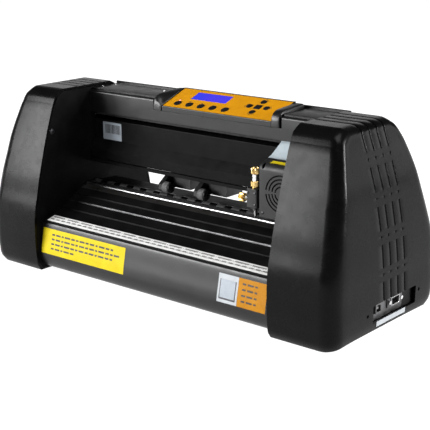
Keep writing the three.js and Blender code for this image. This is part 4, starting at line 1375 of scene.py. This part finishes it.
def pinch_wheels():
    for side, left in WHEEL_LEFTS.items():
        def turned(profile, steps):
            return lathe([(r, left + x) for r, x in profile], (0.0, WHEEL_HEIGHT), along_x, steps)

        wheel = f"wheel_{side}"
        piece(f"pinch_tyre_{side}", turned(TYRE, 48), "roller", wheel, f"pinch_wheel_{side}")
        piece(f"pinch_hub_{side}", turned(HUB, 40), "key", wheel)
        piece(f"pinch_pin_cap_{side}", turned(PIN_CAP, 20), "nickel", wheel)
        pinch_arm(side, left)


def pinch_arm(side, left):
    finish_node(f"pinch_arm_{side}", "arm", 0.5)
    bolt = screw_head(left + 20, 24, 2.0, 131.0, 1, along_z, False)
    screws(f"arm_bolt_{side}", f"arm_bolt_cross_{side}", [bolt], "dark_steel", f"arm_{side}")


pinch_wheels()


LEVER_PIVOT = (40.0, 126.0)


def lift_lever():
    y, z = LEVER_PIVOT
    lower = flowing([(y, z - 3.2), (y + 20, z - 1.4), (y + 40, z + 1.2)], 5)
    upper = flowing([(y + 40, z + 7), (y + 20, z + 4.6), (y, z + 3.2)], 5)
    bar = prism(lower + upper, -171.6, -165.4, along_x)
    hub = rod(y, z, 6.2, -172, -165, along_x, 0.5, 36)
    profile = [(4.6, -176), (5.7, -175.4), (6, -174), (6, -163), (5.7, -161.6), (4.6, -161)]
    grip = lathe(profile, (y + 42, z + 4), along_x, 48, 0.4, 12)
    piece("lever_bar", joined(bar, hub), "arm", "lift", "pinch_lever", edge=0.3)
    piece("lever_grip", grip, "rubber", "lift")


lift_lever()


# ---------- sockets ----------
PORT_PLATE_THICK = 1.2
USB = (-15.5, 30.2)
USB_HALF = 4.3
USB_LEVELS = (-3.9, 2.2, 3.9)  # floor, chamfers and top of its mouth
SERIAL = (20.5, 30.2)
SERIAL_PIN_PITCH = 2.75


def right_ports():
    finish_node("control_board", "board", 0.2)
    finish_node("power_supply", "satin", 0.8)
    plate = PORTS["plate"]
    # Openings for the two sockets, and a slot beside them
    outlines = [
        rounded(-21.8, -9.2, 24.4, 36.0, 0.6), rectangle(4.8, 36.2, 23.6, 36.8),
        rounded(-28.1, -24.7, 27.5, 36.5, 0.8),
    ]
    holes = joined(*(prism(outline, 260, 290, along_x) for outline in outlines))
    blank = prism(rectangle(-35, 38.2, 16.4, 41), plate - PORT_PLATE_THICK, plate, along_x)
    piece("port_metal", blank, "port", "root", "port_plate", holes=holes, edge=0.2)
    # A dark plate beside the sockets paints the shadow in the rest of the recess
    piece("port_shadow_plate", block(plate - PORT_PLATE_THICK, plate, 38.5, 62, 16.4, 41), "painted_shade")
    usb_shell()
    serial_shell()
    side_label()
    pins = [rod(y, z, 1.5, 272.8, 275.6, along_x, 0.2, 16) for y, z in COVER_SCREWS]
    piece("cover_screws", joined(*pins), "dark_steel")


def side_label():
    """Plain strip under the ports, along the lower edge of the right cover"""
    low, high = (cover_point(1, level, 0, math.pi / 2)[0] for level in (9.6, 15.6))
    strip = [(low + 0.02, 11.6), (high + 0.02, 17.6), (high + 0.14, 17.6), (low + 0.14, 11.6)]
    piece("side_label", prism(strip, -24, 37, along_y), "side_paper")


def usb_shell():
    y, z = USB
    floor_z, chamfer_z, top_z = (z + level for level in USB_LEVELS)
    mouth = [
        (y - USB_HALF, floor_z), (y + USB_HALF, floor_z), (y + USB_HALF, chamfer_z),
        (y + 2.7, top_z), (y - 2.7, top_z), (y - USB_HALF, chamfer_z),
    ]
    bore = prism(mouth, 265.6, 280, along_x)
    shell = prism(centred(y, z, 6, 5.5, 0.8), 256, 274.6, along_x)
    piece("usb_shell", shell, "port", "root", "usb_socket", holes=bore, edge=0.2)
    # The back wall of the mouth is dark to paint the shade inside the socket
    piece("usb_floor", prism(centred(y, z, 4.25, 3.85), 265.65, 266.0, along_x), "painted_shade")
    tongue = prism(centred(y, z, 2.6, 1.4, 0.3), 265.8, 272.8, along_x)
    piece("usb_tongue", tongue, "kerb", edge=0.15)
    contacts = [
        prism(rectangle(y + dy, y + dy + 0.8, z + dz - 0.1, z + dz + 0.1), 266, 272.4, along_x)
        for dy in (-2, 1.2) for dz in (-1.4, 1.4)]
    piece("usb_contacts", joined(*contacts), "dark_steel")


def d_outline(y, z, upper, lower, half_height):
    """Trapezium of a D socket, wider at the top"""
    return [
        (y - upper, z + half_height), (y - lower, z - half_height),
        (y + lower, z - half_height), (y + upper, z + half_height),
    ]


def serial_shell():
    y, z = SERIAL
    mouth = d_outline(y, z, 8.4, 7.6, 4.1)
    flange = prism(centred(y, z, 15.4, 6.2, 1.2), 256, 273.4, along_x)
    piece("serial_flange", flange, "port", "root", "serial_socket",
          holes=prism(mouth, 267.7, 280, along_x), edge=0.25)
    rim = prism(grown(mouth, 0.8), 273.3, 274.6, along_x)
    piece("serial_rim", rim, "nickel", holes=prism(mouth, 270, 280, along_x), edge=0.2)
    core = prism(d_outline(y, z, 7.2, 6.5, 3.0), 267.7, 268.6, along_x)
    piece("serial_core", core, "key", edge=0.3)
    pins = [
        rod(y - start + SERIAL_PIN_PITCH * i, z + dz, 0.5, 268.4, 273.0, along_x, 0.15, 10)
        for count, start, dz in ((5, 5.5, 1.4), (4, 4.1, -1.4)) for i in range(count)]
    piece("serial_pins", joined(*pins), "dark_steel")
    nut = [(2.6, 273.3), (2.6, 275.3), (2.3, 275.6), (1.2, 275.6)]
    nuts = [lathe(nut, (y + reach, z), along_x, 6) for reach in (-12.3, 12.3)]
    piece("serial_nuts", joined(*nuts), "nickel")


right_ports()


def left_ports():
    y, z = INLET
    mouth = [
        (y - 12, z - 8), (y + 12, z - 8), (y + 12, z + 4.5),
        (y + 8.5, z + 8), (y - 8.5, z + 8), (y - 12, z + 4.5),
    ]
    body = prism(centred(y, z, 13.5, 10, 1.2), -277.9, -256, along_x)
    bore = prism(mouth, -280, -260.9, along_x)
    piece("inlet_body", body, "key", "root", "power_inlet", holes=bore, edge=0.4)
    blades = [
        prism(centred(y + dy, z + dz, 1, 2, 0.5), -275.5, -260.7, along_x)
        for dy, dz in ((-7, -2), (0, 2), (7, -2))]
    piece("inlet_blades", joined(*blades), "nickel", edge=0.2)
    finish_node("power_switch", "key", 0.3)


left_ports()


# ---------- stage ----------
# Angles in degrees, lens and sensor in millimetres
CAMERA = {"azimuth": 40.19, "elevation": 15.68, "roll": -0.55, "lens": 94.1266, "sensor": 36}
CAMERA_PLACE = (0.8962, -1.0326, 0.4709)  # in metres
LIGHT_TARGET = (0, 0, 0.12)
# Azimuth from the front towards the right as seen from above, elevation, distance, size and power
SOFTBOXES = {
    "front_left_box": (-40, 16, 2.6, (1.5, 1.1), 130),
    "overhead_box": (60, 66, 2.2, (1.2, 1.2), 30),
    "right_strip": (113, 17, 2.2, (0.3, 0.8), 60),
    "right_wall": (148, 6, 3.2, (2.0, 0.5), 8),
    "back_left_wall": (218, 16, 3.2, (2.8, 1.2), 9),
}
FLOOR_HALF = 14000
FLOOR_GLOW = 0.98
FLOOR_DARK = (0.22, 0.22, 0.22)
FLOOR_LIGHT = (0.26, 0.26, 0.26)
ROOM_LOW = (0.02, 0.02, 0.02, 1)
ROOM_HIGH = (0.06, 0.06, 0.06, 1)
WHITE = (1, 1, 1, 1)


def camera():
    azimuth, elevation, roll = (math.radians(CAMERA[k]) for k in ("azimuth", "elevation", "roll"))
    right = Vector((math.cos(azimuth), math.sin(azimuth), 0))
    level = Vector((-math.sin(azimuth), math.cos(azimuth), 0))
    ahead = level * math.cos(elevation) - Vector((0, 0, math.sin(elevation)))
    up = right.cross(ahead)
    across = right * math.cos(roll) + up * math.sin(roll)
    above = up * math.cos(roll) - right * math.sin(roll)
    data = bpy.data.cameras.new("camera")
    data.sensor_width = CAMERA["sensor"]
    data.lens = CAMERA["lens"]
    data.clip_end = 60
    obj = in_scene("camera", data)
    columns = Matrix((across, above, -ahead)).transposed().to_4x4()
    obj.matrix_world = Matrix.Translation(CAMERA_PLACE) @ columns
    bpy.context.scene.camera = obj


def softbox(name, azimuth, elevation, distance, size, power):
    a, e = math.radians(azimuth), math.radians(elevation)
    data = bpy.data.lights.new(name, "AREA")
    data.shape = "RECTANGLE"
    data.size, data.size_y = size
    data.energy = power
    obj = in_scene(name, data)
    back = Vector((math.sin(a) * math.cos(e), -math.cos(a) * math.cos(e), math.sin(e)))
    obj.location = Vector(LIGHT_TARGET) + back * distance
    obj.rotation_euler = (-back).to_track_quat("-Z", "Y").to_euler()


def floor():
    ground = mesh_object("floor", block(-FLOOR_HALF, FLOOR_HALF, -FLOOR_HALF, FLOOR_HALF, -20, -0.05))
    look = Look("pale_floor", roughness=0.75, specular=0.2)
    look.colour(look.mixed(look.noise(260, 4), FLOOR_DARK, FLOOR_LIGHT))
    look.bump(look.noise(3, 3), 0.02)
    look.shader.inputs["Emission Color"].default_value = WHITE
    look.shader.inputs["Emission Strength"].default_value = FLOOR_GLOW
    ground.data.materials.append(look.material)


def world():
    """Dim grey room, a little lighter overhead, behind a plain white background"""
    scene = bpy.context.scene
    scene.world = bpy.data.worlds.new("studio")
    scene.world.use_nodes = True
    nodes, links = scene.world.node_tree.nodes, scene.world.node_tree.links
    place = nodes.new("ShaderNodeTexCoord").outputs["Generated"]
    split = nodes.new("ShaderNodeSeparateXYZ")
    ramp = nodes.new("ShaderNodeValToRGB")
    for stop, position, colour in zip(ramp.color_ramp.elements, (0.2, 1.0), (ROOM_LOW, ROOM_HIGH)):
        stop.position = position
        stop.color = colour
    links.new(place, split.inputs[0])
    links.new(split.outputs["Z"], ramp.inputs["Fac"])
    links.new(ramp.outputs["Color"], nodes["Background"].inputs["Color"])
    backdrop = nodes.new("ShaderNodeBackground")
    backdrop.inputs["Color"].default_value = WHITE
    either = nodes.new("ShaderNodeMixShader")
    links.new(nodes.new("ShaderNodeLightPath").outputs["Is Camera Ray"], either.inputs[0])
    links.new(nodes["Background"].outputs[0], either.inputs[1])
    links.new(backdrop.outputs[0], either.inputs[2])
    links.new(either.outputs[0], nodes["World Output"].inputs["Surface"])


def studio():
    camera()
    floor()
    world()
    for name, setting in SOFTBOXES.items():
        softbox(name, *setting)
    scene = bpy.context.scene
    scene.view_settings.view_transform = "Standard"
    scene.view_settings.look = "None"


studio()
